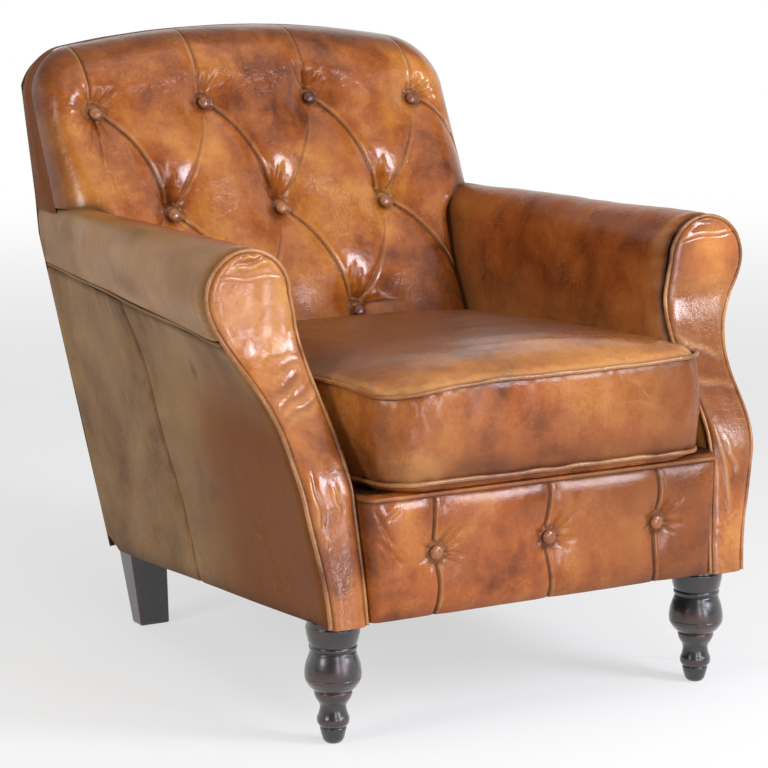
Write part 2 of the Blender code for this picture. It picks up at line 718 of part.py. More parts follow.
def seat_frame():
    """Rails, corner blocks, springs, the deck on them and the dust cover below."""
    front_y = BORDER_Y + BORDER_T
    inner = ARM_IN_BOTTOM - 0.006
    low, high = underside_z(front_y) + 0.0035 + GAP, RAIL_TOP_FRONT
    prism("front_seat_rail",
          [(-inner, front_y, low), (inner, front_y, low), (inner, front_y + RAIL_T, low),
           (-inner, front_y + RAIL_T, low)],
          [(-inner, front_y, high), (inner, front_y, high), (inner, front_y + RAIL_T, high),
           (-inner, front_y + RAIL_T, high)], (BEECH, 0.6))
    rail_end = BACK_RAIL_Y + RAIL_T
    wire_z = deck_top(rail_end) - DECK_T - GAP - 2 * SPRING_R
    half = POST_X - GAP
    back_low = underside_z(BACK_RAIL_Y) + 0.0035 + GAP
    prism("back_seat_rail",
          [(-half, BACK_RAIL_Y, back_low), (half, BACK_RAIL_Y, back_low),
           (half, outside_y(back_low) - LEATHER - 2 * GAP, back_low),
           (-half, outside_y(back_low) - LEATHER - 2 * GAP, back_low)],
          [(-half, BACK_RAIL_Y, wire_z - GAP), (half, BACK_RAIL_Y, wire_z - GAP),
           (half, rail_end, wire_z - GAP), (-half, rail_end, wire_z - GAP)], (BEECH, 0.6))

    for side, s in (("left", -1), ("right", 1)):
        x0, y0 = s * (inner - 0.001), front_y + RAIL_T + GAP
        tri = [(x0, y0), (x0 - s * BLOCK_SIDE, y0), (x0, y0 + BLOCK_SIDE)]
        z0 = BORDER_BOTTOM + 0.006
        loft(side + "_front_block", [[(x, y, z) for x, y in tri] for z in (z0, z0 + BLOCK_H)], (BEECH, 0.6))
        x0, y0 = s * (half - 0.001), BACK_RAIL_Y - GAP
        tri = [(x0, y0), (x0 - s * BLOCK_SIDE, y0), (x0, y0 - BLOCK_SIDE)]
        loft(side + "_back_block", [[(x, y, z) for x, y in tri] for z in (z0 - 0.006, z0 - 0.006 + BLOCK_H)],
             (BEECH, 0.6))

    for i in range(SPRING_COUNT):
        x0 = (i - (SPRING_COUNT - 1) / 2) * 0.112
        y0, y1 = front_y + 0.004, rail_end - 0.003
        turns = round((y1 - y0) / SPRING_PITCH)
        points = []
        for k in range(turns * 4 + 1):
            swing = SPRING_SWING if (k // 2) % 2 == 0 else -SPRING_SWING
            y = mix(y0, y1, k / (turns * 4))
            points.append((x0 + swing, y, deck_top(y) - DECK_T - GAP - SPRING_R))
        rod("seat_spring_%d" % (i + 1), points, SPRING_R, (STEEL, 0.35, 0.9), fine=0)

    top, under = [], []
    for y in np.linspace(DECK_FRONT_Y, DECK_BACK_Y, 6):
        across = np.linspace(SEAT_SIDE_GAP - ARM_IN_BOTTOM, ARM_IN_BOTTOM - SEAT_SIDE_GAP, 5)
        top.append([(x, y, deck_top(y)) for x in across])
        under.append([(x, y, deck_top(y) - DECK_T) for x in across])
    slab("seat_deck", top, under, (HESSIAN, 0.8))

    leg_side, rail_back = FRONT_FOOT_X - 0.048, BACK_RAIL_Y + 0.004
    plan = [(leg_side, front_y + 0.004), (leg_side, 0.040), (leg_side + 0.055, 0.045),
            (leg_side + 0.045, rail_back), (0.190, rail_back + 0.005), (0.190, outside_y(back_low) - 0.018)]
    outline = plan + [(-x, y) for x, y in plan[::-1]]
    loft("dust_cover", [[(x, y, underside_z(y) + 0.0015) for x, y in outline],
                        [(x, y, underside_z(y) + 0.0035) for x, y in outline]], (CAMBRIC, 0.9))


def cushion_parts():
    """Loose crowned cushion with a boxed side and a piping at each edge."""
    def back_y(z):
        return pad_rear_y(z) - (BACK_SINK + BACK_LOFT) - 0.013

    def outline(z, shrink):
        """Rounded plan at height z, drawn in by shrink."""
        half, rear_half = CUSHION_HALF - shrink, CUSHION_BACK_HALF - shrink
        front, back = CUSHION_FRONT + shrink, back_y(z) - shrink
        r = min(CUSHION_CORNER_R + 0.9 * shrink, half * 0.999)
        rear_r = min(CUSHION_REAR_R + 1.1 * shrink, rear_half * 0.999)
        corners = ((half - r, front + r, r, -90), (rear_half - rear_r, back - rear_r, rear_r, 0),
                   (rear_r - rear_half, back - rear_r, rear_r, 90), (r - half, front + r, r, 180))
        points = []
        for cx, cy, radius, start in corners:
            for i in range(5):
                a = math.radians(start + 22.5 * i)
                points.append((cx + radius * math.cos(a), cy + radius * math.sin(a)))
        full = []
        for i, (a, b) in enumerate(zip(points, points[1:] + points[:1])):
            full.append(a)
            if i % 5 == 4:
                swell = math.copysign(CUSHION_SWELL, a[0]) if i % 10 == 4 else 0.0
                full += [(mix(a[0], b[0], k) + swell * math.sin(math.pi * k), mix(a[1], b[1], k))
                         for k in (0.25, 0.5, 0.75)]
        return full

    def levels(y):
        """Bottom and top edge of the boxing at depth y."""
        t = (y - CUSHION_FRONT) / 0.60
        bottom = deck_top(y) + GAP + 0.008
        return bottom, bottom + mix(CUSHION_BOX, CUSHION_BOX_BACK, t)

    def rear_level(level):
        """Height of the boxing's bottom or top edge where the cushion meets the inside back."""
        return mix(*levels(DECK_BACK_Y + 0.01), level)

    groove = CUSHION_PIPING_R + 0.003
    lip = CUSHION_PIPING_R + 0.0007
    stack = [(0.160, 0, -0.008), (0.060, 0, -0.008), (0.012, 0, -0.0075), (0.0, 0, -lip), (groove, 0, 0.0),
             (0.0, 0, lip), (-0.003, 0.5, 0.0), (0.0, 1, -lip), (groove, 1, 0.0), (0.001, 1, lip),
             (0.020, 1, 0.016), (0.060, 1, 0.031), (0.120, 1, CUSHION_CROWN),
             (0.190, 1, CUSHION_CROWN + 0.003)]
    rings = []
    for shrink, level, rise in stack:
        ring = []
        for x, y in outline(rear_level(level), shrink):
            low, high = levels(y)
            ring.append((x, y, mix(low, high, level) + rise))
        rings.append(ring)
    loft("seat_cushion", rings, (COGNAC, 0.35))
    for name, level in (("cushion_piping_bottom", 0), ("cushion_piping_top", 1)):
        points = []
        for x, y in outline(rear_level(level), -0.001):
            low, high = levels(y)
            points.append((x, y, mix(low, high, level)))
        rod(name, points, CUSHION_PIPING_R, (PIPE, 0.4), cyclic=True)


def legs():
    """Turned front legs and square tapered back legs."""
    profile = [(0.0, 0.0095), (0.004, 0.0129), (0.014, 0.0158), (0.020, 0.0169), (0.0245, 0.0194),
               (0.030, 0.0201), (0.036, 0.0190), (0.047, 0.0164), (0.053, 0.0196), (0.0615, 0.0232),
               (0.0655, 0.0238), (0.069, 0.0268), (0.079, 0.0342), (0.090, 0.0354), (0.106, 0.0324),
               (0.116, 0.0288), (0.1195, 0.0300), (0.124, 0.0317), (0.141, 0.0335), (0.148, 0.0335),
               (0.1482, 0.027), (LEG_TOP_FRONT, 0.027)]
    for side, s in (("left", -1), ("right", 1)):
        turned(side + "_front_leg", profile, 12, (EBONY, 0.3), (s * FRONT_FOOT_X, 0, 0))
        rings = []
        for z, (w, d) in ((0.0, BACK_LEG_TOE), (LEG_TOP_BACK, BACK_LEG_TOP)):
            x, y = s * (BACK_FOOT_X + 0.012 * (z / LEG_TOP_BACK)), BACK_FOOT_Y
            rings.append([(x - w / 2, y - d / 2, z), (x + w / 2, y - d / 2, z),
                          (x + w / 2, y + d / 2, z), (x - w / 2, y + d / 2, z)])
        loft(side + "_back_leg", rings, (EBONY, 0.3))


def stand_at_origin():
    """Put the bottom centre of the whole chair at the origin."""
    bpy.context.view_layer.update()
    corners = [o.matrix_world @ Vector(c) for o in bpy.data.objects for c in o.bound_box]
    lo = [min(c[i] for c in corners) for i in range(3)]
    hi = [max(c[i] for c in corners) for i in range(3)]
    move = Vector((-(lo[0] + hi[0]) / 2, -(lo[1] + hi[1]) / 2, -lo[2]))
    for o in bpy.data.objects:
        o.location += move


def build():
    for old in list(bpy.data.objects):
        bpy.data.objects.remove(old)
    legs()
    for side, x_sign in (("left", -1), ("right", 1)):
        arm_parts(side, x_sign)
        arm_frame(side, x_sign)
    pad = inside_back()
    facing_axis = (0, math.cos(math.atan(BACK_SLOPE)), -math.sin(math.atan(BACK_SLOPE)))
    for i, (x, z) in enumerate(back_buttons()):
        plane = BUTTON_PLANE_Y + BACK_SLOPE * (z - BUTTON_ROW_Z[1])
        away = 0.12
        seat_button("back_button_%d" % (i + 1), pad, x, z - away * facing_axis[2],
                    plane - away * facing_axis[1], facing_axis, (COGNAC, 0.35))
    outside_back()
    back_border()
    back_frame()
    border = front_border()
    for i, x in enumerate((-BORDER_BUTTON_X, 0.0, BORDER_BUTTON_X)):
        seat_button("border_button_%d" % (i + 1), border, x, BORDER_BUTTON_Z, BORDER_Y - 0.1, (0, 1, 0),
                    (COGNAC, 0.35))
    seat_frame()
    cushion_parts()
    stand_at_origin()


build()
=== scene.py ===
# %% [markdown]
# # A worn club chair
# The chair is a beech frame under waxed, hand-dyed leather: rolled arms with S-shaped fronts, a raked
# back pulled in by nine buttons, a loose crowned cushion and four dark legs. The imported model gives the
# frame and the place of every part. This lesson dresses it, one piece of leather at a time.

# %% The frame
import math

import bmesh
import bpy
import numpy as np
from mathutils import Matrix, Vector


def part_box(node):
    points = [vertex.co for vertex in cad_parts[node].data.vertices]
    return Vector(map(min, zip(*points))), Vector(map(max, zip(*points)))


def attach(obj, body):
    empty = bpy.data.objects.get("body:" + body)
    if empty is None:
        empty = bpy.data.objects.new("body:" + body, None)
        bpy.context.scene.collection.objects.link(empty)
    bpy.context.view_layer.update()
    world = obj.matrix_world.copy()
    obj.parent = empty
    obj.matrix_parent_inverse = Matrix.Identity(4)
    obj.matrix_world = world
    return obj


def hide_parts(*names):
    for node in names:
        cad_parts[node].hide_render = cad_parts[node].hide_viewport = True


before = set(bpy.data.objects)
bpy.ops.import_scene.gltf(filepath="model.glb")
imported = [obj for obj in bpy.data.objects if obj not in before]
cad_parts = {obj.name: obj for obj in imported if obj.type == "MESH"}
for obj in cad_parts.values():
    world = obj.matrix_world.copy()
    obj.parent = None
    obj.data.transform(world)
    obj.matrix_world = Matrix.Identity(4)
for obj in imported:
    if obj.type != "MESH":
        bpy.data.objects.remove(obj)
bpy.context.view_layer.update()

foot_lo, foot_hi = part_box("left_front_leg")
SET_BACK = (foot_lo[1] + foot_hi[1]) / 2
print("nodes", len(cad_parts), "front feet at y", round(SET_BACK, 4))

# %% [markdown]
# ## Camera
# The photograph was taken from the chair's front left, a little above the seat, with a long lens. A long
# lens keeps the legs nearly parallel, so a short one would never match, however it is placed.

# %% Camera
camera = bpy.data.objects.new("camera", bpy.data.cameras.new("camera"))
bpy.context.collection.objects.link(camera)
camera.data.sensor_width = 36.0
camera.data.lens = 137.80
camera.location = (-1.95796, -3.04354 + SET_BACK, 1.08594)
camera.rotation_euler = (math.radians(79.5967), 0.0, math.radians(-29.9976))
bpy.context.scene.camera = camera
print("lens", camera.data.lens)

# %% [markdown]
# ## Small tools for shapes
# Every skin below is a grid of points worked out with numpy and turned into a mesh in one go. A grid is
# easier to wrinkle than a box with modifiers, because each point knows where on the leather it lies.
# Painted values, such as how worn a point is, go along as mesh attributes for the materials.


# %% Blending, random ripples and grid meshes
def smooth(t):
    t = np.clip(t, 0.0, 1.0)
    return t * t * (3.0 - 2.0 * t)


def mix(a, b, t):
    return a + (b - a) * t


def bell(distance, width):
    """1 on the line, falling softly to 0 beyond the width."""
    return np.exp(-(distance / width) ** 2)



def xyz(x, y, z):
    """Grid of points from three arrays or plain numbers."""
    return np.stack(np.broadcast_arrays(x, y, z), -1)



def ripple(points, size, seed=0):
    """Smooth random bumps from -1 to 1, about size metres apart (size may differ along x, y and z)."""
    place = points / np.asarray(size)
    cell = np.floor(place).astype(np.int64)
    part = smooth(place - cell)
    total = np.zeros(points.shape[:-1])
    for corner in np.ndindex(2, 2, 2):
        at = cell + np.array(corner)
        n = at[..., 0] * 73856093 ^ at[..., 1] * 19349663 ^ at[..., 2] * 83492791 ^ (seed * 2654435 + 977)
        n = (n ^ (n >> 13)) * 1274126177 & 0x7FFFFFFF
        n = (n ^ (n >> 15)) * 1911520717 & 0x7FFFFFFF
        share = np.prod(np.where(np.array(corner) == 1, part, 1.0 - part), axis=-1)
        total += share * ((n >> 8 & 0xFFFF) / 32767.5 - 1.0)
    return total


def piece_from(name, points, look, toward=None, ring=False, caps=False, **paint):
    """Mesh object from a grid of points. ring joins the last column to the first, caps fills the ends."""
    rows, cols = points.shape[:2]
    index = np.arange(rows * cols).reshape(rows, cols)
    if ring:
        index = np.hstack([index, index[:, :1]])
    quads = np.stack([index[:-1, :-1], index[:-1, 1:], index[1:, 1:], index[1:, :-1]], -1).reshape(-1, 4)
    flat = points.reshape(-1, 3).copy()
    flat[:, 1] += SET_BACK
    if toward is not None:
        a, b, c = flat[quads[:, 0]], flat[quads[:, 1]], flat[quads[:, 2]]
        if (np.cross(b - a, c - a) @ np.array(toward)).sum() < 0:
            quads = quads[:, ::-1]
    faces = quads.tolist()
    if caps:
        faces += [index[0, :cols][::-1].tolist(), index[-1, :cols].tolist()]
    data = bpy.data.meshes.new(name)
    data.from_pydata(flat, [], faces)
    for label, values in paint.items():
        layer = data.attributes.new(label, "FLOAT", "POINT")
        values = np.broadcast_to(np.clip(values, 0, 1), (rows, cols))
        layer.data.foreach_set("value", values.astype(np.float32).ravel())
    if caps or ring:
        bm = bmesh.new()
        bm.from_mesh(data)
        bmesh.ops.recalc_face_normals(bm, faces=bm.faces)
        bm.to_mesh(data)
        bm.free()
    data.shade_smooth()
    data.materials.append(look)
    made = bpy.data.objects.new(name, data)
    bpy.context.collection.objects.link(made)
    return made


def settle(piece, slot, *nodes, fill=None):
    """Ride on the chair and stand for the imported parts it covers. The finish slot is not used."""
    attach(piece, "root")
    if nodes:
        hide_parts(*nodes)
    return piece


def tube(path, radius, sides=10):
    """Grid of points round a run of points, for piping."""
    run = np.gradient(path, axis=0)
    run /= np.linalg.norm(run, axis=1, keepdims=True)
    side = np.cross(run, np.where(np.abs(run[:, 1:2]) > 0.8, [[0.0, 0.0, 1.0]], [[0.0, 1.0, 0.0]]))
    side /= np.linalg.norm(side, axis=1, keepdims=True)
    up = np.cross(side, run)
    angle = np.linspace(0, 2 * math.pi, sides, endpoint=False)[None, :, None]
    radius = np.broadcast_to(radius, len(path))[:, None, None]
    return path[:, None] + radius * (side[:, None] * np.cos(angle) + up[:, None] * np.sin(angle))


print("ripple check", round(float(ripple(np.array([[0.1, 0.2, 0.3]]), 0.05)[0]), 3))

# %% [markdown]
# ## Shader sums written as sums
# A node tree is a formula. This small class wraps one socket, so that `1 - mask` or `cloud * 0.4` adds the
# Math node by itself, and every other node comes from one method.


# %% A socket that can be added and multiplied
def plug(value, socket):
    """Link a wire to a socket, or set the socket's own value."""
    if isinstance(value, Wire):
        value.tree.links.new(value.socket, socket)
    else:
        socket.default_value = value


class Wire:
    def __init__(self, tree, socket):
        self.tree, self.socket = tree, socket

    def node(self, kind, settings=None, out=0, **inputs):
        """A new node: its settings, then its sockets by number (i0) or by name, with _ for a space."""
        made = self.tree.nodes.new(kind)
        for key, value in (settings or {}).items():
            setattr(made, key, value)
        for key, value in inputs.items():
            if key[0] == "i" and key[1:].isdigit():
                plug(value, made.inputs[int(key[1:])])
            else:
                wanted = key.replace("_", " ")
                plug(value, next(s for s in made.inputs if s.name == wanted and s.enabled))
        return Wire(self.tree, made.outputs[out])

    def maths(self, operation, *others):
        return self.node("ShaderNodeMath", {"operation": operation},
                         **{"i%d" % i: v for i, v in enumerate((self, *others))})

    def __add__(self, other):
        return self.maths("ADD", other)

    def __sub__(self, other):
        return self.maths("SUBTRACT", other)

    def __mul__(self, other):
        return self.maths("MULTIPLY", other)

    def __rsub__(self, other):
        return self.maths("MULTIPLY", -1.0).maths("ADD", other)

    __radd__ = __add__
    __rmul__ = __mul__

    def clamp(self, low=0.0, high=1.0):
        return self.maths("MAXIMUM", low).maths("MINIMUM", high)

    def step(self, low, high, to_low=0.0, to_high=1.0):
        """Smooth step from one value to another."""
        return self.node("ShaderNodeMapRange", {"interpolation_type": "SMOOTHSTEP"}, Value=self,
                         From_Min=low, From_Max=high, To_Min=to_low, To_Max=to_high)

    def blend(self, other, mask):
        """Colour mix from this to the other by the mask."""
        other = other if isinstance(other, Wire) else (*other, 1.0)
        return self.node("ShaderNodeMix", {"data_type": "RGBA"}, 2, i0=mask, i6=self, i7=other)

    def ramp(self, *stops):
        """The colour at this value between stops, each a place and a colour."""
        made = self.node("ShaderNodeValToRGB", Fac=self)
        ramp = made.socket.node.color_ramp
        while len(ramp.elements) < len(stops):
            ramp.elements.new(0.5)
        for stop, (at, colour) in zip(ramp.elements, stops):
            stop.position, stop.color = at, (*colour, 1.0)
        return made

    def bump(self, strength, distance):
        return self.node("ShaderNodeBump", Height=self, Strength=strength, Distance=distance)


def new_look(name):
    """An empty material: the material, its start wire and its shader."""
    made = bpy.data.materials.new(name)
    made.use_nodes = True
    tree = made.node_tree
    place = tree.nodes.new("ShaderNodeTexCoord")
    return made, Wire(tree, place.outputs["Object"]), tree.nodes["Principled BSDF"]


def feed(shader, **values):
    """Give the shader's sockets their wires or plain values, with _ for a space."""
    for key, value in values.items():
        plug(value, shader.inputs[key.replace("_", " ")])


print("sums ready")

# %% [markdown]
# ## Hand-dyed, waxed leather
# The dye goes on by hand over a paler hide, so the colour drifts in clouds. Years of use rub the dye off
# ridges and lips, leave dirt in folds and scratch the wax. One recipe makes all of it: clouds at three
# sizes pick a colour between dark, middle and pale; painted values for wear, dirt and shade come with each
# piece. Wear also stands for painted light and highlights on some lips and sides, dirt also for painted
# shade in creases, rims and joins. Pale hair scratches and a pebbled grain finish it. A clear coat gives the
# waxed gloss.


# %% Leather
GOLD, PORES, GRIME_AND_SHADE = (0.62, 0.30, 0.095), (0.03, 0.015, 0.008), (0.018, 0.007, 0.004)
HAIR = 0.012


def noise(at, scale, detail=2.0, rough=0.5, bend=0.0):
    return at.node("ShaderNodeTexNoise", Vector=at, Scale=scale, Detail=detail, Roughness=rough,
                   Distortion=bend)


def painted(at, label):
    return at.node("ShaderNodeAttribute", {"attribute_name": label}, out=2)


def stretched(at, turn, size):
    """The object's own coordinates turned and squeezed, to draw the grain out in one direction."""
    return at.node("ShaderNodeMapping", Vector=at, Rotation=turn, Scale=size)


def scratches(at, turn, size, keep):
    """Hair lines: the narrow zero band of a drawn-out noise, kept only here and there."""
    lines = noise(stretched(at, turn, size), 1.0, 1.0, 0.4, 0.6)
    line = (lines - 0.5).maths("ABSOLUTE").step(0.0, HAIR, 1.0, 0.0)
    return line * noise(at, 7.0, 2.0).step(keep, keep + 0.12)


def leather(name, dark, middle, pale, shaded, worn=GOLD, gloss=0.30, coat=0.12, shine=0.42, scratch=0.35):
    """Dark, middle and pale are the dye's clouds; the other two are the painted shade colour and the colour
    of wear and painted light.
    """
    look, at, shader = new_look(name)
    clouds = noise(at, 6.5, 3.0, 0.55, 0.4)
    mottle = noise(at, 24.0, 4.0, 0.6, 0.3)
    specks = noise(at, 150.0, 3.0, 0.65)
    dirt, wear_light_mask, shade = (painted(at, label) for label in ("dirty", "worn", "shade"))
    tone = (clouds - 0.5) * 2.3 + (mottle - 0.5) * 1.1 + (specks - 0.5) * 0.35 + 0.5
    colour = tone.ramp((0.0, dark), (0.45, middle), (1.0, pale))
    # Painted shade: the shaded colour where the piece paints shade; on the arm it is a painted sheen.
    colour = colour.blend(shaded, (shade * (0.75 + clouds * 0.5)).clamp())
    # Gold where the piece paints wear, and on some lips and sides painted light.
    colour = colour.blend(worn, (wear_light_mask * (0.55 + mottle * 0.9)).clamp())
    colour = colour.blend(PORES, noise(at, 420.0, 2.0, 0.6).step(0.60, 0.74) * 0.22)
    bent = at.node("ShaderNodeVectorMath", {"operation": "ADD"}, i0=at, i1=noise(at, 30.0, 2.0) * 0.02)
    crackle = bent.node("ShaderNodeTexVoronoi", {"feature": "DISTANCE_TO_EDGE"}, Vector=bent, Scale=115.0)
    crackle = crackle.step(0.0, 0.07, 1.0, 0.0) * noise(at, 11.0, 3.0).step(0.44, 0.62)
    colour = colour.blend(shaded, crackle * 0.45)
    marks = scratches(at, (0.4, 0.2, 0.5), (210.0, 9.0, 12.0), 0.52)
    marks = marks.maths("MAXIMUM", scratches(at, (0.1, 1.0, -0.4), (16.0, 190.0, 11.0), 0.55))
    colour = colour.blend(worn, marks * scratch)
    # Near black where the piece paints dirt and the shade of creases, rims and joins.
    colour = colour.blend(GRIME_AND_SHADE, (dirt * (0.7 + mottle * 0.5)).clamp())
    matt = gloss + (mottle - 0.5) * 0.30 + dirt * 0.20 + marks * 0.10 + (specks - 0.5) * 0.12 + shade * 0.08
    wax = coat + (clouds - 0.5) * (coat * 1.6) - dirt * 0.3 - shade * 0.12
    pebble = at.node("ShaderNodeTexVoronoi", Vector=at, Scale=520.0)
    creases = noise(stretched(at, (0.3, 0.5, 0.2), (80.0, 110.0, 95.0)), 1.0, 4.0, 0.6, 0.8)
    waves = noise(at, 38.0, 3.0, 0.5)
    grain = pebble * 0.10 + creases * 0.60 + waves * 1.3 - marks * 0.08 - crackle * 0.12
    feed(shader, Base_Color=colour, Roughness=matt.clamp(0.12, 0.85), Coat_Weight=wax.clamp(),
         Specular_IOR_Level=shine, Coat_Roughness=0.17, Coat_IOR=1.5, Normal=grain.bump(0.24, 0.004))
    return look


# The fourth colour of each leather is its painted shade; the arm's is a pale taupe, a painted sheen for the
# outer roll.
back_leather = leather("leather_back", (0.115, 0.025, 0.005), (0.345, 0.089, 0.012), (0.565, 0.215, 0.032),
                       (0.110, 0.036, 0.012), gloss=0.19, coat=0.46, shine=0.28)
arm_leather = leather("leather_arm", (0.150, 0.033, 0.007), (0.300, 0.074, 0.012), (0.450, 0.150, 0.028),
                      (0.370, 0.185, 0.062), coat=0.15, shine=0.24)
# The facing's dye is paler than the arm's: its own colour with some painted sheen.
facing_leather = leather("leather_arm_front", (0.200, 0.050, 0.010), (0.440, 0.135, 0.023),
                         (0.660, 0.290, 0.060), (0.17, 0.048, 0.012), gloss=0.21, coat=0.45)
seat_leather = leather("leather_seat", (0.115, 0.025, 0.006), (0.320, 0.082, 0.014), (0.500, 0.190, 0.036),
                       (0.165, 0.050, 0.012), gloss=0.25, coat=0.26, shine=0.24, scratch=0.12)
outside_leather = leather("leather_outside", (0.150, 0.070, 0.026), (0.265, 0.145, 0.058),
                          (0.360, 0.215, 0.095), (0.190, 0.051, 0.009), worn=(0.46, 0.28, 0.11),
                          gloss=0.44, coat=0.0, shine=0.10, scratch=0.2)
piping_leather = leather("leather_piping", (0.120, 0.036, 0.009), (0.300, 0.098, 0.022),
                         (0.460, 0.190, 0.055), (0.10, 0.04, 0.015), worn=(0.60, 0.32, 0.12),
                         gloss=0.28, scratch=0.1)
button_leather = leather("leather_button", (0.130, 0.033, 0.010), (0.290, 0.080, 0.018), (0.42, 0.15, 0.04),
                         (0.07, 0.015, 0.008), gloss=0.22, coat=0.5, scratch=0.1)
print("leathers", 7)

# %% [markdown]
# ## The chair's own curves
# These are the working drawings: where the arm front, the rear planes and the arm roll run. They are the
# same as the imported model's, so a skin made from them fits its neighbours. All are for the front feet at
# y = 0; the mesh helper moves each piece back.

# %% Drawings of the frame
PITCH = 0.1705
TOP_ROW, MIDDLE_ROW, LOW_ROW = 0.722, 0.577, 0.431
HALF_WIDTH, TOP, ARCH, CORNER = 0.3284, 0.8275, 0.035, 0.062
ROLL_Z, KNEE, WAIST = 0.547, 0.370, 0.300
HEM, REAR_HEM = 0.157, 0.112
HALF_WELT = 0.0034
SIDES = (("left", -1), ("right", 1))


def face_y(z):
    """The S curve of the arm front."""
    low = mix(-0.054, -0.038, np.maximum(z - HEM, 0) / 0.143)
    return np.where(z < WAIST, low, mix(-0.038, 0.086, smooth((z - WAIST) / 0.210)))


def pad_rear_y(z):
    return 0.638 + 0.5 * (z - MIDDLE_ROW) + 0.050


def outside_y(z):
    return mix(0.645, pad_rear_y(0.8278) + 0.0282, (z - REAR_HEM) / 0.7158)


def roll(t):
    """Centre x, half width and half height of the arm roll, from the front (0) to the back (1)."""
    return mix(0.341, 0.295, t), mix(0.059, 0.030, t), mix(0.059, 0.044, t)


def arm_rise(z):
    """How far a height is up the lower part of the arm, and up the part that swells into the roll."""
    return smooth((z - HEM) / 0.213), np.clip((z - KNEE) / 0.177, 0, 1)


def inner_x(z, t):
    centre, half, _ = roll(t)
    lower, upper = arm_rise(z)
    return mix(mix(0.253, 0.265, lower) - 0.010 * t, centre - half, upper ** 2.2)


def outer_x(z, t):
    """Outer side: shaped at the facing, straight at the rear."""
    lower, upper = arm_rise(z)
    front = mix(mix(0.308, 0.338, lower), 0.400, smooth(upper ** 1.3))
    return mix(front, mix(0.278, 0.325, np.clip((z - REAR_HEM) / 0.435, 0, 1)), t)


def welt_z(t):
    return mix(0.489, 0.506, t)


def arm_line(t, z_in, z_out, steps, over, inset=0.0):
    """Points (x, z) up the inner side, over the roll and down the outer side."""
    centre, half, high = roll(t)
    up = np.linspace(z_in, ROLL_Z, steps, endpoint=False)
    angle = np.linspace(math.pi, 0, over + 1)
    down = np.linspace(ROLL_Z, z_out, steps + 1)[1:]
    square = np.where(angle < math.pi / 2, mix(1.0, 0.5, smooth((t - 0.5) / 0.5)), 1.0)
    reach = np.sign(np.cos(angle)) * np.abs(np.cos(angle)) ** square
    x = np.concatenate([inner_x(up, t), centre + half * reach, outer_x(down, t)])
    z = np.concatenate([up, ROLL_Z + high * np.maximum(np.sin(angle), 0.0) ** square, down])
    dx, dz = np.gradient(x), np.gradient(z)
    length = np.hypot(dx, dz)
    return np.stack([x + inset * dz / length, z - inset * dx / length], -1)


print("roll at the front", roll(0.0))

# %% [markdown]
# ## The buttoned back
# Deep buttoning starts with more leather than frame. Each button pulls it to the webbing, the spare leather
# folds along the lines between buttons, and the upper diamond laps over the lower one with a rolled lip.
# The grid is about 2 mm, dense where the edges turn, and the depth is a sum of plain shapes: a hollow for
# each button, a lip and crease for each fold, rays of small gathers, and slow ripples for the stuffing.


# %% Folds between the buttons
def button_places():
    """Four, three and two buttons in a staggered pattern."""
    rows = ((4, 0.726), (3, MIDDLE_ROW), (2, LOW_ROW))
    spots = [((i - (n - 1) / 2) * PITCH, z) for n, z in rows for i in range(n)]
    return [(x, z - (0.009 * (x / 0.25575) ** 2 if z > 0.7 else 0.0)) for x, z in spots]


SLOPE = math.hypot(1.0, 0.5)
SWELL = math.log(0.5) / math.log(0.4)
places = button_places()
B1, B2, B3, B4, M1, M2, M3, L1, L2 = places


def fold(start, end, bow, deep, lip, fade=(0.0, 0.0)):
    """A fold from one point to another, bowed sideways, as a run of points and its strength."""
    t = np.linspace(0, 1, 25)
    (x0, z0), (x1, z1) = start, end
    away = np.array([z0 - z1, x1 - x0]) / math.hypot(x1 - x0, z1 - z0)
    swell = np.sin(math.pi * t ** SWELL)
    line = np.stack([mix(x0, x1, t), mix(z0, z1, t)], -1) + bow * swell[:, None] * away
    strength = smooth((t + 0.001) / (fade[0] + 0.001)) * smooth((1.001 - t) / (fade[1] + 0.001))
    return line, strength, deep, lip


strong = [fold(a, b, 0.017, 1.0, 1.0) for a, b in ((B1, M1), (B2, M2), (B3, M3), (M1, L1), (M2, L2))]
strong += [fold(B4, (0.322, 0.600), 0.022, 0.9, 1.0), fold(M3, (0.257, 0.470), 0.014, 0.9, 1.0),
           fold(M1, (-0.257, 0.480), -0.012, 0.6, 0.5)]
fine = [fold(a, b, 0.007, 0.55, 0.55, (0.45, 0.0))
        for a, b in ((B2, M1), (B3, M2), (B4, M3), (M2, L1), (M3, L2))]
upright = [fold((x, TOP_ROW), (x - 0.002, TOP + 0.01), 0.004 * side, 0.75 * s, 0.8 * s)
           for (x, _), side, s in zip((B1, B2, B3, B4), (1, 1, 1, -1), (1.0, 1.0, 0.8, 0.55))]
small = [fold((B3[0] - 0.004, TOP_ROW + 0.014), (B3[0] - 0.027, TOP_ROW + 0.062), 0.002, 0.5, 0.5,
              (0.0, 0.5)),
         fold(L2, (L2[0] + 0.075, LOW_ROW + 0.012), 0.006, 0.8, 0.6, (0.0, 0.6)),
         fold(L1, (L1[0] - 0.075, LOW_ROW + 0.010), -0.006, 0.8, 0.6, (0.0, 0.6)),
         fold(B1, (B1[0] - 0.020, TOP_ROW - 0.105), 0.004, 0.45, 0.35, (0.0, 0.7)),
         fold(L1, (L1[0], 0.310), 0.0, 0.7, 0.5), fold(L2, (L2[0], 0.310), 0.0, 0.7, 0.5)]
folds = strong + fine + upright + small
print("folds", len(folds))


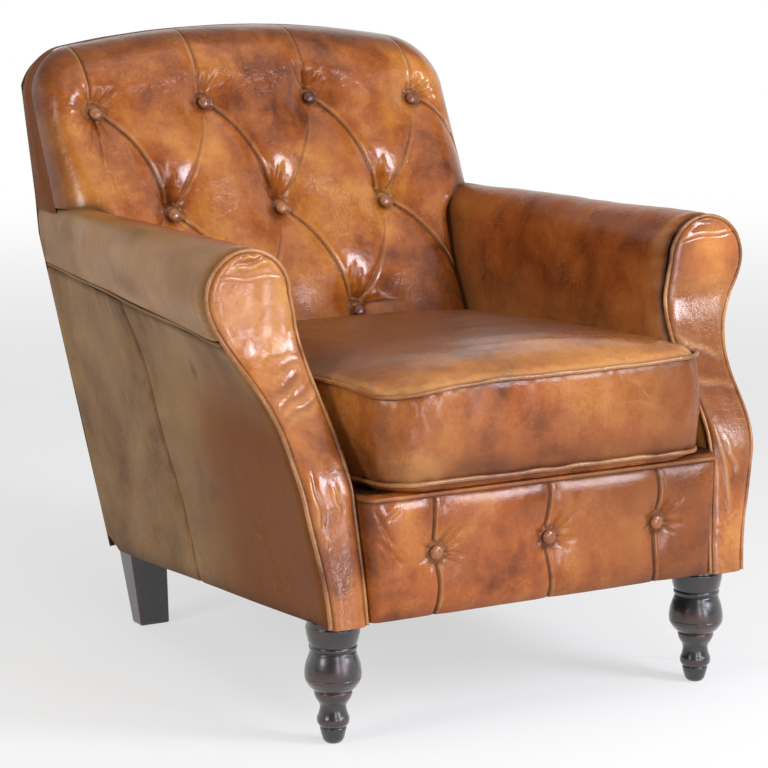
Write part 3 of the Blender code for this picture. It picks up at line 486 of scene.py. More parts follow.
# %% How the leather lies round a fold
def beside_fold(x, z, line):
    """Signed distance to a run of points (positive on its left) and the nearest place along it, 0 to 1."""
    best = np.full(x.shape, 1e9)
    along = np.zeros(x.shape)
    count = len(line) - 1
    for k in range(count):
        (x0, z0), (x1, z1) = line[k] * (1, SLOPE), line[k + 1] * (1, SLOPE)
        dx, dz = x1 - x0, z1 - z0
        px, pz = x - x0, z * SLOPE - z0
        t = np.clip((px * dx + pz * dz) / (dx * dx + dz * dz), 0, 1)
        gap = np.hypot(px - t * dx, pz - t * dz)
        near = gap < np.abs(best)
        best = np.where(near, gap * np.sign(dx * pz - dz * px + 1e-12), best)
        along = np.where(near, (k + t) / count, along)
    return best, along


def fold_relief(x, z):
    """Height, dirt and wear that all folds add at each point: dirt with painted shade in each crease, wear
    with a painted highlight on each lip.
    """
    height, dirt, worn = np.zeros(x.shape), np.zeros(x.shape), np.zeros(x.shape)
    for line, strength, deep, lip in folds:
        lo, hi = line.min(0) - 0.035, line.max(0) + 0.035
        near = (x > lo[0]) & (x < hi[0]) & (z > lo[1]) & (z < hi[1])
        s, along = beside_fold(x[near], z[near], line)
        force = np.interp(along, np.linspace(0, 1, len(strength)), strength)
        uneven = 0.75 + 0.45 * ripple(xyz(along * 7, line[0, 0] * 90, 0), 1.0, 2)
        valley = -0.0085 * deep * np.exp(-np.abs(s) / 0.012) - 0.0022 * deep * bell(s + 0.0012, 0.0017)
        rope = 0.0036 * lip * uneven * bell(s - 0.0025, 0.0019)
        height[near] += force * (valley + rope)
        # A dark line in the crease: dirt and painted shade; a pale line on the lip: wear and painted
        # highlight.
        dirt[near] = np.maximum(dirt[near], force * deep * bell(s + 0.0010, 0.0015))
        worn[near] = np.maximum(worn[near], 0.52 * force * lip * uneven * bell(s - 0.0028, 0.0016))
    return height, dirt, worn


def rays(spot, rows, turn=0):
    """Gathers round a spot, from rows of angle in degrees (0 is right, 90 is up), length and depth."""
    return [(spot, angle + turn, length, deep) for angle, length, deep in rows]


def gather(height, x, z, lines, slope=SLOPE, waver=0.06, start=0.008, high=0.0027, thin=0.0020):
    """Press the gathers into the height, each fading in at its start and out at its end."""
    for (bx, bz), angle, length, deep in lines:
        u, v = x - bx, (z - bz) * slope
        turn = math.radians(angle)
        ahead = u * math.cos(turn) + v * math.sin(turn)
        side = (v * math.cos(turn) - u * math.sin(turn)) + waver * ahead * np.sin(ahead * 40 + angle)
        fade = smooth((ahead - start) / 0.008) * (1 - smooth((ahead - 0.25 * length) / (0.75 * length)))
        height -= high * deep * fade * bell(side, thin + 0.050 * np.maximum(ahead, 0))
    return height


gathers = rays(B1, ((72, .045, 2.2), (52, .060, 2.0), (34, .055, 1.8), (12, .050, 1.6), (112, .060, 1.8),
                    (135, .050, 1.4), (158, .055, 1.5), (182, .050, 1.3), (205, .060, 1.6), (228, .055, 1.3),
                    (250, .085, 1.9), (266, .095, 2.2), (281, .075, 1.7), (-12, .040, 1.0)))
gathers += rays(B2, ((78, .060, 2.0), (62, .065, 2.2), (44, .050, 1.8), (-92, .035, .8), (180, .030, .7),
                     (120, .035, .9)))
gathers += rays(B3, ((96, .060, 2.2), (80, .060, 2.0), (62, .055, 2.0), (46, .045, 1.5), (15, .030, .8),
                     (-88, .030, .6)))
gathers += rays(B4, ((66, .050, 2.0), (42, .050, 2.2), (20, .045, 2.0), (0, .045, 1.6), (98, .045, 1.0),
                     (-18, .040, 1.2), (130, .030, .8)))
for middle in (M1, M2, M3):
    gathers += rays(middle, ((72, .060, 1.8), (84, .085, 2.6), (95, .080, 2.4), (106, .095, 2.6),
                             (116, .060, 1.6), (52, .050, 1.3), (-58, .040, 1.0), (-120, .035, .8),
                             (15, .030, .8), (168, .030, .7)), 2 * (middle is M2))
for low in (L1, L2):
    gathers += rays(low, ((78, .080, 2.4), (92, .090, 2.6), (106, .075, 2.2), (60, .050, 1.2),
                          (30, .050, 1.5), (150, .035, 1.0), (-60, .035, .8)))
print("gathers", len(gathers))


# %% Grid of the buttoned back
def back_top(x):
    """A low arch with rounded corners."""
    over = np.clip(np.abs(x) - (HALF_WIDTH - CORNER), 0, CORNER)
    return TOP - ARCH * (x / HALF_WIDTH) ** 2 - CORNER + np.sqrt(CORNER ** 2 - over ** 2)


def shoulder(x):
    """Lower edge of the wide part, which sits over the arm rolls."""
    centre, half, high = roll(0.74)
    over = np.clip((np.abs(x) - centre) / half, 0, 1)
    return ROLL_Z + high * (1 - over ** 4) ** 0.25 - 0.003


EDGE, PAD_GAP = 0.062, 0.0035
CORE = PITCH * 1.4
turn = np.sin(np.linspace(0, math.pi / 2, 40))
wide_columns = np.concatenate([np.linspace(CORE, HALF_WIDTH - EDGE, 22, endpoint=False),
                               HALF_WIDTH - EDGE * (1 - turn)])
share = (wide_columns - CORE) / (HALF_WIDTH - CORE)
inner_columns = np.linspace(-CORE, CORE, 231)[1:-1]


def columns(width):
    side = CORE + (width - CORE) * share
    return np.concatenate([-side[::-1], inner_columns, side])


rows = []
for z in np.concatenate([np.linspace(0.302, 0.415, 12), np.linspace(0.417, ROLL_Z, 60)]):
    rows.append((columns(inner_x(z, 1.0) - PAD_GAP), z))
(centre, half, _), high = roll(0.85), roll(0.74)[2]
for k in np.linspace(0.05, 1, 18):
    rise = 0.9 * k
    at_roll = centre - half * math.sqrt(1 - rise * rise) - 0.001
    width = mix(inner_x(ROLL_Z, 1.0) - PAD_GAP, at_roll, smooth(k * 3))
    rows.append((columns(width), ROLL_Z + rise * high - 0.003 * k))
for step, width in enumerate(np.linspace(centre - 0.012, HALF_WIDTH, 10)):
    x = columns(width)
    rows.append((x, shoulder(x) - 0.0002 * (10 - step)))
full_x = columns(HALF_WIDTH)
span = TOP - shoulder(0.0)
climb = np.concatenate([np.linspace(0, span - EDGE, 78, endpoint=False)[1:], span - EDGE * (1 - turn)]) / span
rows += [(full_x, mix(shoulder(full_x), back_top(full_x) - 0.0003, k)) for k in climb]
X, Z = (np.stack([np.broadcast_to(row[i], full_x.shape) for row in rows]) for i in (0, 1))
print("back grid", X.shape)


# %% Depth of the buttoned back
def outline_gap(x, z):
    """Distance inside the rounded outline of the back."""
    qx, qz = np.abs(x) - (HALF_WIDTH - CORNER), z + ARCH * (x / HALF_WIDTH) ** 2 - (TOP - CORNER)
    outside = np.hypot(np.maximum(qx, 0), np.maximum(qz, 0)) + np.minimum(np.maximum(qx, qz), 0)
    return CORNER - outside


def arm_gap(x, z):
    """Distance from the arm that the pad is tucked behind."""
    above = (np.hypot((np.abs(x) - 0.301) / 0.036, np.maximum(z - ROLL_Z, 0) / 0.047) - 1) * 0.042
    return np.where(z > ROLL_Z, above, inner_x(z, 1.0) - np.abs(x))


PAD, HOLLOW, HOLLOW_WIDTH, AT_BUTTON = 0.075, 0.029, 0.054, 0.046


def back_depth(x, z):
    """Height of the leather over the pad's rear plane, with its dirt and painted shade, and its wear and
    painted highlight.
    """
    flat = xyz(x, 0, z)
    depth = PAD + 0.0016 * ripple(flat, 0.11, 3) + 0.0007 * ripple(flat, (0.03, 1, 0.05), 8)
    near = np.full(x.shape, 1.0)
    for bx, bz in places:
        d = np.hypot(x - bx, (z - bz) * SLOPE)
        depth -= HOLLOW * np.exp(-(d / HOLLOW_WIDTH) ** 1.25)
        near = np.minimum(near, d)
    depth = np.maximum(depth, AT_BUTTON)
    height, dirt, worn = fold_relief(x, z)
    clear = smooth((near - 0.009) / 0.010)
    depth += height * mix(0.35, 1.0, clear) + gather(np.zeros(x.shape), x, z, gathers)
    depth += 0.00035 * ripple(flat, (0.009, 1, 0.014), 5) * smooth((0.06 - near) / 0.05)
    gap = np.maximum(outline_gap(x, z), 0)
    turned = np.sqrt(1 - (1 - np.clip(gap / EDGE, 0, 1)) ** 2)
    upper = smooth((z - (ROLL_Z - 0.02)) / 0.05)
    depth = depth * mix(1.0, turned, np.maximum(upper, z > ROLL_Z + 0.03))
    tuck = np.clip(arm_gap(x, z) / 0.024, 0, 1)
    depth -= mix(0.030, 0.004, smooth((z - ROLL_Z) / 0.035)) * (1 - np.sqrt(1 - (1 - tuck) ** 2))
    # Dirt and painted shade: a dark ring in the hollow round each button and where the pad tucks behind the
    # arms.
    rim = bell(near - 0.0125, 0.0045)
    dirt = np.maximum(dirt * clear, 0.65 * rim)
    dirt = np.maximum(dirt, 0.7 * bell(np.maximum(arm_gap(x, z), 0), 0.008))
    return np.maximum(depth, 0.0035), dirt, worn * clear


depth, dirt, worn = back_depth(X, Z)
# Painted shade: darker towards the bottom and where the back turns at its outline.
back_shade = 0.25 * smooth((0.50 - Z) / 0.10) + 0.55 * smooth((0.030 - outline_gap(X, Z)) / 0.030)
tufted = piece_from("tufted_back", xyz(X, pad_rear_y(Z) - depth, Z), back_leather, toward=(0, -1, 0.4),
                    dirty=dirt, worn=worn, shade=back_shade)
settle(tufted, "leather_back", "inside_back", fill=0.7)
print("buttoned back", len(tufted.data.polygons), "faces, deepest", round(float(depth.max()), 4))

# %% [markdown]
# ## Covered buttons
# A covered button is a metal dome under a disc of leather, so it is smooth on top and creased at the rim.
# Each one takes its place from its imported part. Their dye varies: the third in the top row is the darkest.


# %% Buttons
def button_cover(name, node, axis, tint, worn):
    lo, hi = (np.array(v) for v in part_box(node))
    axis = np.array(axis) / np.linalg.norm(axis)
    middle = (lo + hi) / 2 - axis * 0.0035
    side = np.array([1.0, 0.0, 0.0])
    up = np.cross(axis, side)
    angle = np.linspace(0, 2 * math.pi, 40, endpoint=False)
    rings = []
    for h, r in ((-0.0050, 0.0058), (-0.0046, 0.0080), (-0.0036, 0.0091), (-0.0018, 0.0096), (0.0000, 0.0092),
                 (0.0014, 0.0081), (0.0025, 0.0064), (0.0033, 0.0043), (0.0036, 0.0021), (0.0037, 0.0003)):
        pucker = 1 + 0.02 * np.sin(angle * 11 + middle[0] * 90) * smooth((r - 0.006) / 0.003)
        ring = np.cos(angle)[:, None] * side + np.sin(angle)[:, None] * up
        rings.append(middle + axis * h + ring * (r * pucker)[:, None])
    points = np.stack(rings)
    points[..., 1] -= SET_BACK
    # The rings at the rim, where the button sinks into the leather, are darker: dirt and painted shade.
    made = piece_from(name, points, button_leather, ring=True, caps=True, shade=tint, worn=worn,
                      dirty=np.array([0.9, 0.8, 0.5, 0.15, 0, 0, 0, 0, 0, 0])[:, None])
    return settle(made, "leather_button", node)


out = (0.0, -1.0, 0.5)
tints = (0.3, 0.3, 1.0, 0.5, 0.4, 0.2, 0.35, 0.8, 0.7)
rubbed_and_lit = (0.2, 0.1, 0.0, 0.0, 0.15, 0.25, 0.15, 0.0, 0.0)
for i, (tint, rub) in enumerate(zip(tints, rubbed_and_lit)):
    button_cover("button_%d" % (i + 1), "back_button_%d" % (i + 1), out, tint, rub)
for i, rub in enumerate((0.3, 0.1, 0.1)):
    button_cover("front_button_%d" % (i + 1), "border_button_%d" % (i + 1), (0.0, -1.0, 0.0), 0.3, rub * 0.5)
print("buttons", 12)

# %% [markdown]
# ## Arms
# One hide is drawn up from the seat, over the roll and down to a welt on the outside. It is gathered a
# little where it meets the front facing and disappears behind the back. The outside is a flat panel in two
# pieces, sewn with an upright seam.


# %% Inside arms and rolls
def arm_end_y(x, z):
    """The inner wall ends behind the back pad, and the roll runs on to the outside back."""
    over = smooth((x - 0.265) / 0.025)
    return mix(pad_rear_y(z) - 0.016, outside_y(z) - 0.0115, over)


def arm_skin(name, side, seed):
    ahead, behind = (arm_line(end, 0.262, welt_z(end) + HALF_WELT, 46, 64) for end in (0.0, 1.0))
    t = np.concatenate([np.linspace(0, 0.08, 26, endpoint=False), np.linspace(0.08, 1, 150)])
    x, z = (mix(ahead[:, None, i], behind[:, None, i], t) for i in (0, 1))
    y = mix(face_y(ahead[:, 1])[:, None] + 0.0103, arm_end_y(behind[:, 0], behind[:, 1])[:, None], t)
    dx, dz = np.gradient(x, axis=0), np.gradient(z, axis=0)
    length = np.hypot(dx, dz)
    place = xyz(x, y, z)
    from_front = y - face_y(z)
    lift = 0.0016 * ripple(place, (0.12, 0.10, 0.07), seed) + 0.0006 * ripple(place, 0.035, seed + 1)
    along = np.linspace(0, 1, len(ahead))[:, None]
    pucker = ripple(xyz(along * 60, from_front * 12, 0), 1.0, seed + 2)
    lift += 0.0013 * pucker * bell(from_front - 0.016, 0.020)
    lift -= 0.0045 * bell(from_front - 0.010, 0.007)
    lift += 0.0006 * ripple(place, (1.0, 0.012, 0.05), seed + 4) * smooth((0.09 - from_front) / 0.06)
    place = xyz(side * (x + -dz / length * lift), y, z + dx / length * lift)
    outer = smooth((x - mix(0.335, 0.290, t)) / 0.03) * smooth((z - 0.45) / 0.03)
    # Painted sheen: the outer roll takes the arm's pale taupe shaded colour, more on the left arm, and the
    # inner wall takes a little of it towards the back.
    shade = outer * (0.95 if side < 0 else 0.55) + 0.25 * smooth((y - 0.45) / 0.2) * (1 - outer)
    # Darker beside the facing and towards the back pad: dirt and painted shade; dirty streaks on the outer
    # roll.
    dirt = 0.75 * bell(from_front - 0.0115, 0.0045) + 0.5 * smooth((y - (pad_rear_y(z) - 0.10)) / 0.05)
    dirt = dirt * smooth((z - 0.30) / 0.1) * (1 - 0.6 * outer)
    dirt = dirt + 0.32 * outer * smooth(ripple(place, (0.035, 0.13, 0.035), seed + 9) * 1.3)
    # Wear near the front; the lower part is paler with painted light.
    worn = (0.30 * bell(from_front - 0.030, 0.014) + 0.25 * smooth((0.50 - z) / 0.08)) * (1 - outer)
    return piece_from(name, place, arm_leather, toward=(0, 0, 1), shade=shade, dirty=dirt, worn=worn)


for (word, side), seed in zip(SIDES, (11, 31)):
    settle(arm_skin(word + "_arm_skin", side, seed), "leather_arm", word + "_inside_arm", fill=0.8)
print("arm skins", 2)


# %% Outside panels and welts
def outside_panel(name, side, seed):
    v = np.linspace(0, 1, 90)[:, None]
    t = np.concatenate([np.linspace(0, 0.5, 90, endpoint=False), np.linspace(0.5, 1, 90)])[None, :]
    low = mix(HEM, REAR_HEM, t)
    top = welt_z(t) - HALF_WELT
    z = mix(low, top, v)
    y = mix(face_y(z) + 0.0088, outside_y(z) - 0.0104, t)
    x = outer_x(z, t)
    place = xyz(x, y, z)
    seam_y = mix(0.336, 0.438, (z - 0.148) / 0.333) + 0.002 * ripple(xyz(z, 0, 0), 0.05, 5)
    s = y - seam_y
    lift = 0.0022 * ripple(place, (1, 0.16, 0.12), seed) + 0.0008 * ripple(place, (1, 0.04, 0.09), seed + 1)
    lift += 0.0012 * bell(s - 0.006, 0.004) - 0.0030 * bell(s, 0.0022) - 0.0015 * bell(s, 0.012)
    below = top - z
    hang = ripple(xyz(y, 0, z * 0.2), (0.018, 1, 1), seed + 2)
    lift += 0.0012 * hang * bell(below - 0.012, 0.020) - 0.0022 * bell(below, 0.006)
    lift -= 0.0035 * bell(z - low, 0.007) + 0.004 * bell(y - face_y(z) - 0.0088, 0.005)
    corner = np.maximum(smooth((t - 0.955) / 0.045) * smooth((low + 0.03 - z) / 0.03), 0)
    place = xyz(side * (x + lift), y, z + corner * 0.010)
    # Painted shade: the front and lower part of the panel darkens.
    shade = 0.85 * smooth((0.36 - y) / 0.22) * smooth((0.50 - z) / 0.14)
    # Dirt and painted shade along the seam, under the welt and at the hem, and a stain on the side.
    dirt = 0.75 * bell(s + 0.0015, 0.0022) + 0.7 * bell(below, 0.005) + 0.4 * bell(z - low, 0.012)
    dirt += 0.5 * bell(np.hypot(y - 0.245, (z - 0.432) * 0.7), 0.008)
    scuff = bell(np.hypot(y - 0.405, z - 0.163), 0.010) + bell(np.hypot(y - 0.318, (z - 0.165) * 2), 0.010)
    worn = np.clip(scuff, 0, 1) * smooth(ripple(place, 0.006, 77) * 1.6)
    worn = worn + 0.75 * bell(s - 0.0012, 0.0012) * smooth((0.27 - z) / 0.08)
    worn = worn + 0.30 * smooth((t - 0.985) / 0.015)
    return piece_from(name, place, outside_leather, toward=(side, 0, 0), shade=shade, dirty=dirt, worn=worn)


def arm_welt(name, side):
    t = np.linspace(0, 1, 120)
    y = mix(face_y(0.489) + 0.011, outside_y(0.506) - 0.0124, t)
    z = welt_z(t) + 0.0012 * ripple(xyz(y, 0, 0), 0.06, 4)
    x = outer_x(z, t) - 0.0022 + 0.0006 * ripple(xyz(y, 0, 0), 0.03, 9)
    return piece_from(name, tube(xyz(side * x, y, z), 0.0024), outside_leather, ring=True, caps=True,
                      worn=0.10, shade=0.3, dirty=0.0)


for word, side in SIDES:
    settle(outside_panel(word + "_outside_panel", side, 50 + side), "leather_outside", word + "_outside_arm")
    settle(arm_welt(word + "_welt", side), "leather_outside", word + "_arm_welt")
print("outside panels", 2)

# %% [markdown]
# ## Facings
# The front of each arm is a thin padded board in leather, framed by piping. The leather creases across the
# narrow waist, where the board turns from leaning back to standing upright.


# %% Facing and piping
def beside_line(x, z, start, end):
    """How far a point is along a straight line, 0 to 1, and its distance to the line's left."""
    dx, dz = end[0] - start[0], end[1] - start[1]
    size = math.hypot(dx, dz)
    u, v = x - start[0], z - start[1]
    return (u * dx + v * dz) / size ** 2, (v * dx - u * dz) / size


def facing(name, side, creases, seed):
    line = arm_line(0.0, HEM, HEM, 96, 120, 0.0046)
    count = len(line) // 2
    inner, outer = line[:count], line[::-1][:count]
    k = np.linspace(0, 1, 44)[None, :]
    x, z = (mix(inner[:, None, i], outer[:, None, i], k) for i in (0, 1))
    wide = np.abs(outer[:, 0] - inner[:, 0])[:, None] + 0.004
    edge = np.minimum(k, 1 - k) * wide
    rise = 0.0050 * np.sqrt(1 - (1 - np.clip(edge / 0.016, 0, 1)) ** 2)
    place = xyz(x, 0, z)
    rise += (0.0008 * ripple(place, (0.05, 1, 0.06), seed)
             + 0.0003 * ripple(place, (0.012, 1, 0.018), seed + 1))
    pulls = ripple(xyz(0, 0, z), (1, 1, 0.009), seed + 2)
    rise += 0.0009 * pulls * bell(k * wide, 0.012) * smooth((z - 0.45) / 0.05)
    # The edge beside the piping darkens: dirt and painted shade.
    worn, dirt = 0 * x, 0.55 * bell(edge, 0.0030)
    for start, end, deep, width in creases:
        u, s = beside_line(x, z, start, end)
        s = s + 0.0015 * np.sin(u * 9 + start[0] * 300)
        fade = smooth((u + 0.12) / 0.25) * smooth((1.12 - u) / 0.25)
        lip, valley = s - 0.6 * width, s + 0.5 * width
        rise += fade * deep * (bell(lip, width * 0.8) - 1.1 * bell(valley, width * 0.7))
        # Each crease: wear with a painted highlight on its lip, dirt with painted shade in its valley.
        worn = worn + fade * 0.35 * bell(lip, width * 0.6)
        dirt = dirt + fade * 0.30 * bell(valley, width * 0.4)
    # Painted shade: the right facing is darker than the left, varying at random.
    shade = (0.75 if side > 0 else 0.15) * smooth(1.0 + ripple(place, 0.07, seed + 3))
    return piece_from(name, xyz(side * x, face_y(z) - rise, z), facing_leather, toward=(0, -1, 0), worn=worn,
                      dirty=dirt, shade=shade)


def facing_piping(name, side, seed):
    line = arm_line(0.0, 0.158, 0.158, 120, 110, 0.0026)
    x, z = line[:, 0], line[:, 1]
    wave = ripple(xyz(x, 0, z), 0.025, seed)
    path = xyz(side * x, face_y(z) + 0.0005 + 0.0005 * wave, z)
    bead = 0.0027 + 0.00020 * ripple(xyz(x, 0, z), 0.012, seed + 1)
    return piece_from(name, tube(path, bead, 12), piping_leather, ring=True, caps=True,
                      worn=0.15 + 0.3 * wave[:, None], dirty=0.0, shade=0.0)


# Creases of each facing: start and end as x from the middle and z, then depth and width
left_creases = (
    ((0.360, 0.585), (0.310, 0.592), 0.0014, 0.005), ((0.380, 0.572), (0.300, 0.570), 0.0006, 0.002),
    ((0.352, 0.597), (0.325, 0.600), 0.0014, 0.004), ((0.330, 0.468), (0.290, 0.478), 0.0007, 0.004),
    ((0.335, 0.425), (0.285, 0.447), 0.0020, 0.006), ((0.330, 0.412), (0.272, 0.437), 0.0022, 0.006),
    ((0.330, 0.402), (0.275, 0.420), 0.0018, 0.005), ((0.322, 0.452), (0.280, 0.466), 0.0010, 0.004),
    ((0.320, 0.345), (0.312, 0.285), 0.0016, 0.005), ((0.293, 0.330), (0.285, 0.300), 0.0012, 0.004),
    ((0.300, 0.268), (0.312, 0.254), 0.0006, 0.002))
right_creases = (
    ((0.290, 0.590), (0.345, 0.600), 0.0010, 0.004), ((0.300, 0.575), (0.392, 0.582), 0.0010, 0.003),
    ((0.268, 0.452), (0.330, 0.420), 0.0009, 0.006), ((0.272, 0.350), (0.286, 0.240), 0.0014, 0.005),
    ((0.262, 0.215), (0.300, 0.232), 0.0008, 0.003), ((0.285, 0.330), (0.300, 0.285), 0.0008, 0.005),
    ((0.268, 0.400), (0.335, 0.385), 0.0010, 0.006))
for (word, side), creases in zip(SIDES, (left_creases, right_creases)):
    settle(facing(word + "_facing", side, creases, 80 + side), "leather_arm", word + "_arm_facing", fill=0.4)
    settle(facing_piping(word + "_piping", side, 90 + side), "leather_piping", word + "_facing_piping")
print("facings", 2)

# %% [markdown]
# ## The loose cushion
# A boxed cushion: a crowned top, an upright border all round and piping in both seams. It is stuffed to
# stand proud. Its top is painted in shade behind the front edge, where the dye is rubbed to gold, and its
# front is paler to the left with painted light and darker to the right with painted shade.
# The plan narrows to the back, and the corners are puckered where the leather is eased round them.


# %% Plan of the cushion
def deck_top(y):
    return 0.317 - 0.047 * (y + 0.048)


def levels(y):
    """Bottom and top edge of the boxing at depth y."""
    bottom = deck_top(y) + 0.0084
    return bottom, bottom + mix(0.121, 0.112, (y + 0.080) / 0.60)


def droop(x, y):
    """The front corners of the old cushion hang a little, the left one most."""
    left, right = np.hypot(x + 0.235, y + 0.055), np.hypot(x - 0.23, y + 0.05)
    return -0.0105 * bell(left, 0.075) + 0.004 * bell(right, 0.08)


def plan(level, shrink):
    """Rounded outline at one level, from the middle of the right side clockwise, as (x, y)."""
    rear_low, rear_high = levels(0.472)
    rear_z = mix(rear_low, rear_high, level)
    back = pad_rear_y(rear_z) - 0.085 - shrink
    half, rear_half, front = 0.2335 - shrink, 0.2462 - shrink, -0.080 + shrink
    r, rear_r = min(0.050 + 0.9 * shrink, half * 0.999), min(0.035 + 1.1 * shrink, rear_half * 0.999)
    arcs = ((half - r, front + r, r, -90, 110), (rear_half - rear_r, back - rear_r, rear_r, 0, 40),
            (rear_r - rear_half, back - rear_r, rear_r, 90, 110), (r - half, front + r, r, 180, 130))
    pieces = []
    for i, (cx, cy, radius, start, gap) in enumerate(arcs):
        a = np.radians(start + np.linspace(0, 90, 14))
        arc = np.stack([cx + radius * np.cos(a), cy + radius * np.sin(a)], -1)
        nx, ny, nr, ns, _ = arcs[(i + 1) % 4]
        b = math.radians(ns)
        nxt = np.array([nx + nr * math.cos(b), ny + nr * math.sin(b)])
        t = np.linspace(0, 1, gap + 2)[1:-1, None]
        swell = math.copysign(0.010, cx) if i in (0, 2) else 0.0
        pieces += [arc, mix(arc[-1], nxt, t) + np.sin(math.pi * t) * (swell, 0.0)]
    return np.concatenate(pieces) - (0.0030, 0.0)


CROWN = 0.150


def cushion_piece():
    """Rings up the underside and the boxing and over the top, as level, shrink, rise and 1 for the top."""
    grid = [(0.0, shrink, -0.0075, 0.0) for shrink in (0.24, 0.16, 0.08, 0.03, 0.008)]
    grid += [(level, 0.0, 0.0, 0.0) for level in np.linspace(0, 1, 34)]
    crown = np.concatenate([np.linspace(0.0015, 0.05, 26, endpoint=False), np.linspace(0.05, CROWN, 26),
                            CROWN + np.linspace(0.05, 0.99, 18)])
    grid += [(1.0, shrink, 0.0, 1.0) for shrink in crown]
    rings = []
    for level, shrink, rise, top in grid:
        inward, shrink = max(shrink - CROWN, 0.0), min(shrink, CROWN)
        xy = plan(level, shrink)
        xy = mix(xy, xy.mean(0), inward)
        low, high = levels(xy[:, 1])
        z = mix(low, high, level) + rise + level * droop(xy[:, 0], xy[:, 1])
        if top:
            z = z + 0.0420 * (1 - math.exp(-shrink / 0.050)) + 0.0020 * (1 - (1 - inward) ** 2)
        rings.append(np.column_stack([xy, z]))
    points = np.stack(rings)
    level, shrink, _, top = (column[:, None] for column in np.array(grid).T)
    shrink = np.minimum(shrink, CROWN)
    away = points - points.mean(1, keepdims=True)
    away[..., 2] = 0
    away /= np.linalg.norm(away, axis=-1, keepdims=True) + 1e-9
    side = (level > 0) & (top == 0)
    x, y, z = points[..., 0], points[..., 1], points[..., 2]
    corner = bell(np.hypot(np.abs(x) - 0.216, y + 0.060), 0.055)
    wrinkle = ripple(xyz(x, y, z * 0.22), 0.026, 21)
    ease = ripple(xyz(x, y, z * 0.5), 0.011, 22)
    by_seam = bell(level, 0.18) + bell(1 - level, 0.18)
    bulge = np.where(side, 0.0055 * np.sin(math.pi * level), 0.0)
    bulge = bulge + np.where(side, 0.0014 * wrinkle + 0.0006 * ease * by_seam + 0.0024 * corner * ease, 0.0)
    bulge = bulge - np.where(side, 0.0020 * (bell(level, 0.05) + bell(1 - level, 0.05)), 0.0)
    points = points + away * bulge[..., None]
    lift = 0.0022 * ripple(points, (0.16, 0.13, 1.0), 41) + 0.0008 * ripple(points, (0.07, 0.03, 1), 42)
    seam = bell(shrink, 0.022)
    lift = lift + 0.0016 * ease * seam - 0.004 * bell(shrink, 0.004) + 0.004 * corner * ease * seam
    lift = lift - 0.006 * bell(np.hypot(x + 0.02, y - 0.17), 0.15)
    points[..., 2] += np.where(top > 0, lift, 0.0)
    front_gap = y + 0.080
    # Painted shade: the top darkens behind its front edge, and the sides to the right, with random patches.
    shade = np.where(top > 0, smooth((front_gap - 0.045 + 0.05 * ripple(points, 0.10, 43)) / 0.12), 0.0)
    shade = np.where(side, 0.30 * smooth(0.5 + 0.8 * ripple(points, 0.09, 44))
                     + 0.55 * smooth((x + 0.10) / 0.30), shade)
    # Dirt and painted shade along both seams and the lower boxing, and round the top's edge.
    dirt = np.where(side, 0.75 * bell(level - 0.02, 0.06) + 0.5 * bell(1 - level, 0.05)
                    + 0.25 * bell(level - 0.16, 0.12), 0.6 * bell(shrink, 0.004))
    worn = np.where(top > 0, 0.35 * bell(front_gap - 0.03, 0.04) + 0.4 * bell(shrink - 0.006, 0.006), 0.0)
    # The front and sides are paler to the left: painted light with some wear.
    rubbed_and_lit = smooth(0.3 + 1.2 * ripple(points, (0.10, 0.10, 0.05), 45)) * smooth((-0.10 - x) / 0.12)
    worn = worn + np.where(side, 0.25 * rubbed_and_lit + 0.06 * smooth((0.02 - x) / 0.20), 0.0)
    return piece_from("seat_cushion_cover", points, seat_leather, ring=True, caps=True, shade=shade,
                      dirty=dirt, worn=worn)


cushion = settle(cushion_piece(), "leather_seat", "seat_cushion", fill=0.75)
print("cushion", len(cushion.data.polygons), "faces")


# %% Piping of the cushion
def cushion_piping(name, level, seed):
    xy = plan(level, -0.0008)
    low, high = levels(xy[:, 1])
    z = mix(low, high, level) + level * droop(xy[:, 0], xy[:, 1]) + 0.003 * (1 - level)
    at = np.column_stack([xy, z])
    wave = ripple(at, 0.030, seed)
    path = np.column_stack([xy, z + 0.0012 * wave])
    run = np.roll(path, -1, 0) - np.roll(path, 1, 0)
    run /= np.linalg.norm(run, axis=1, keepdims=True)
    side, up = np.cross(run, [0, 0, 1.0])[:, None], np.array([0, 0, 1.0])
    angle = np.linspace(0, 2 * math.pi, 12, endpoint=False)[None, :, None]
    bead = (0.0030 + 0.0003 * ripple(at, 0.012, seed + 1))[:, None, None]
    grid = path[:, None] + bead * (side * np.cos(angle) + up * np.sin(angle))
    return piece_from(name, np.vstack([grid, grid[:1]]), piping_leather, ring=True, dirty=0.0, shade=0.25,
                      worn=0.12 + 0.25 * np.append(wave, wave[0])[:, None])


for word, level, seed in (("top", 1.0, 61), ("bottom", 0.0, 71)):
    settle(cushion_piping("cushion_cord_" + word, level, seed), "leather_piping", "cushion_piping_" + word)
print("cushion piping", 2)

# %% [markdown]
# ## Front border
# Below the cushion a padded panel is pulled in by three buttons. An upright pleat runs through each one,
# and a flat lip band covers the seam along the top.


# %% Border
BUTTON_Z, BORDER_LOW, LIP_LOW = 0.2388, 0.160, 0.309


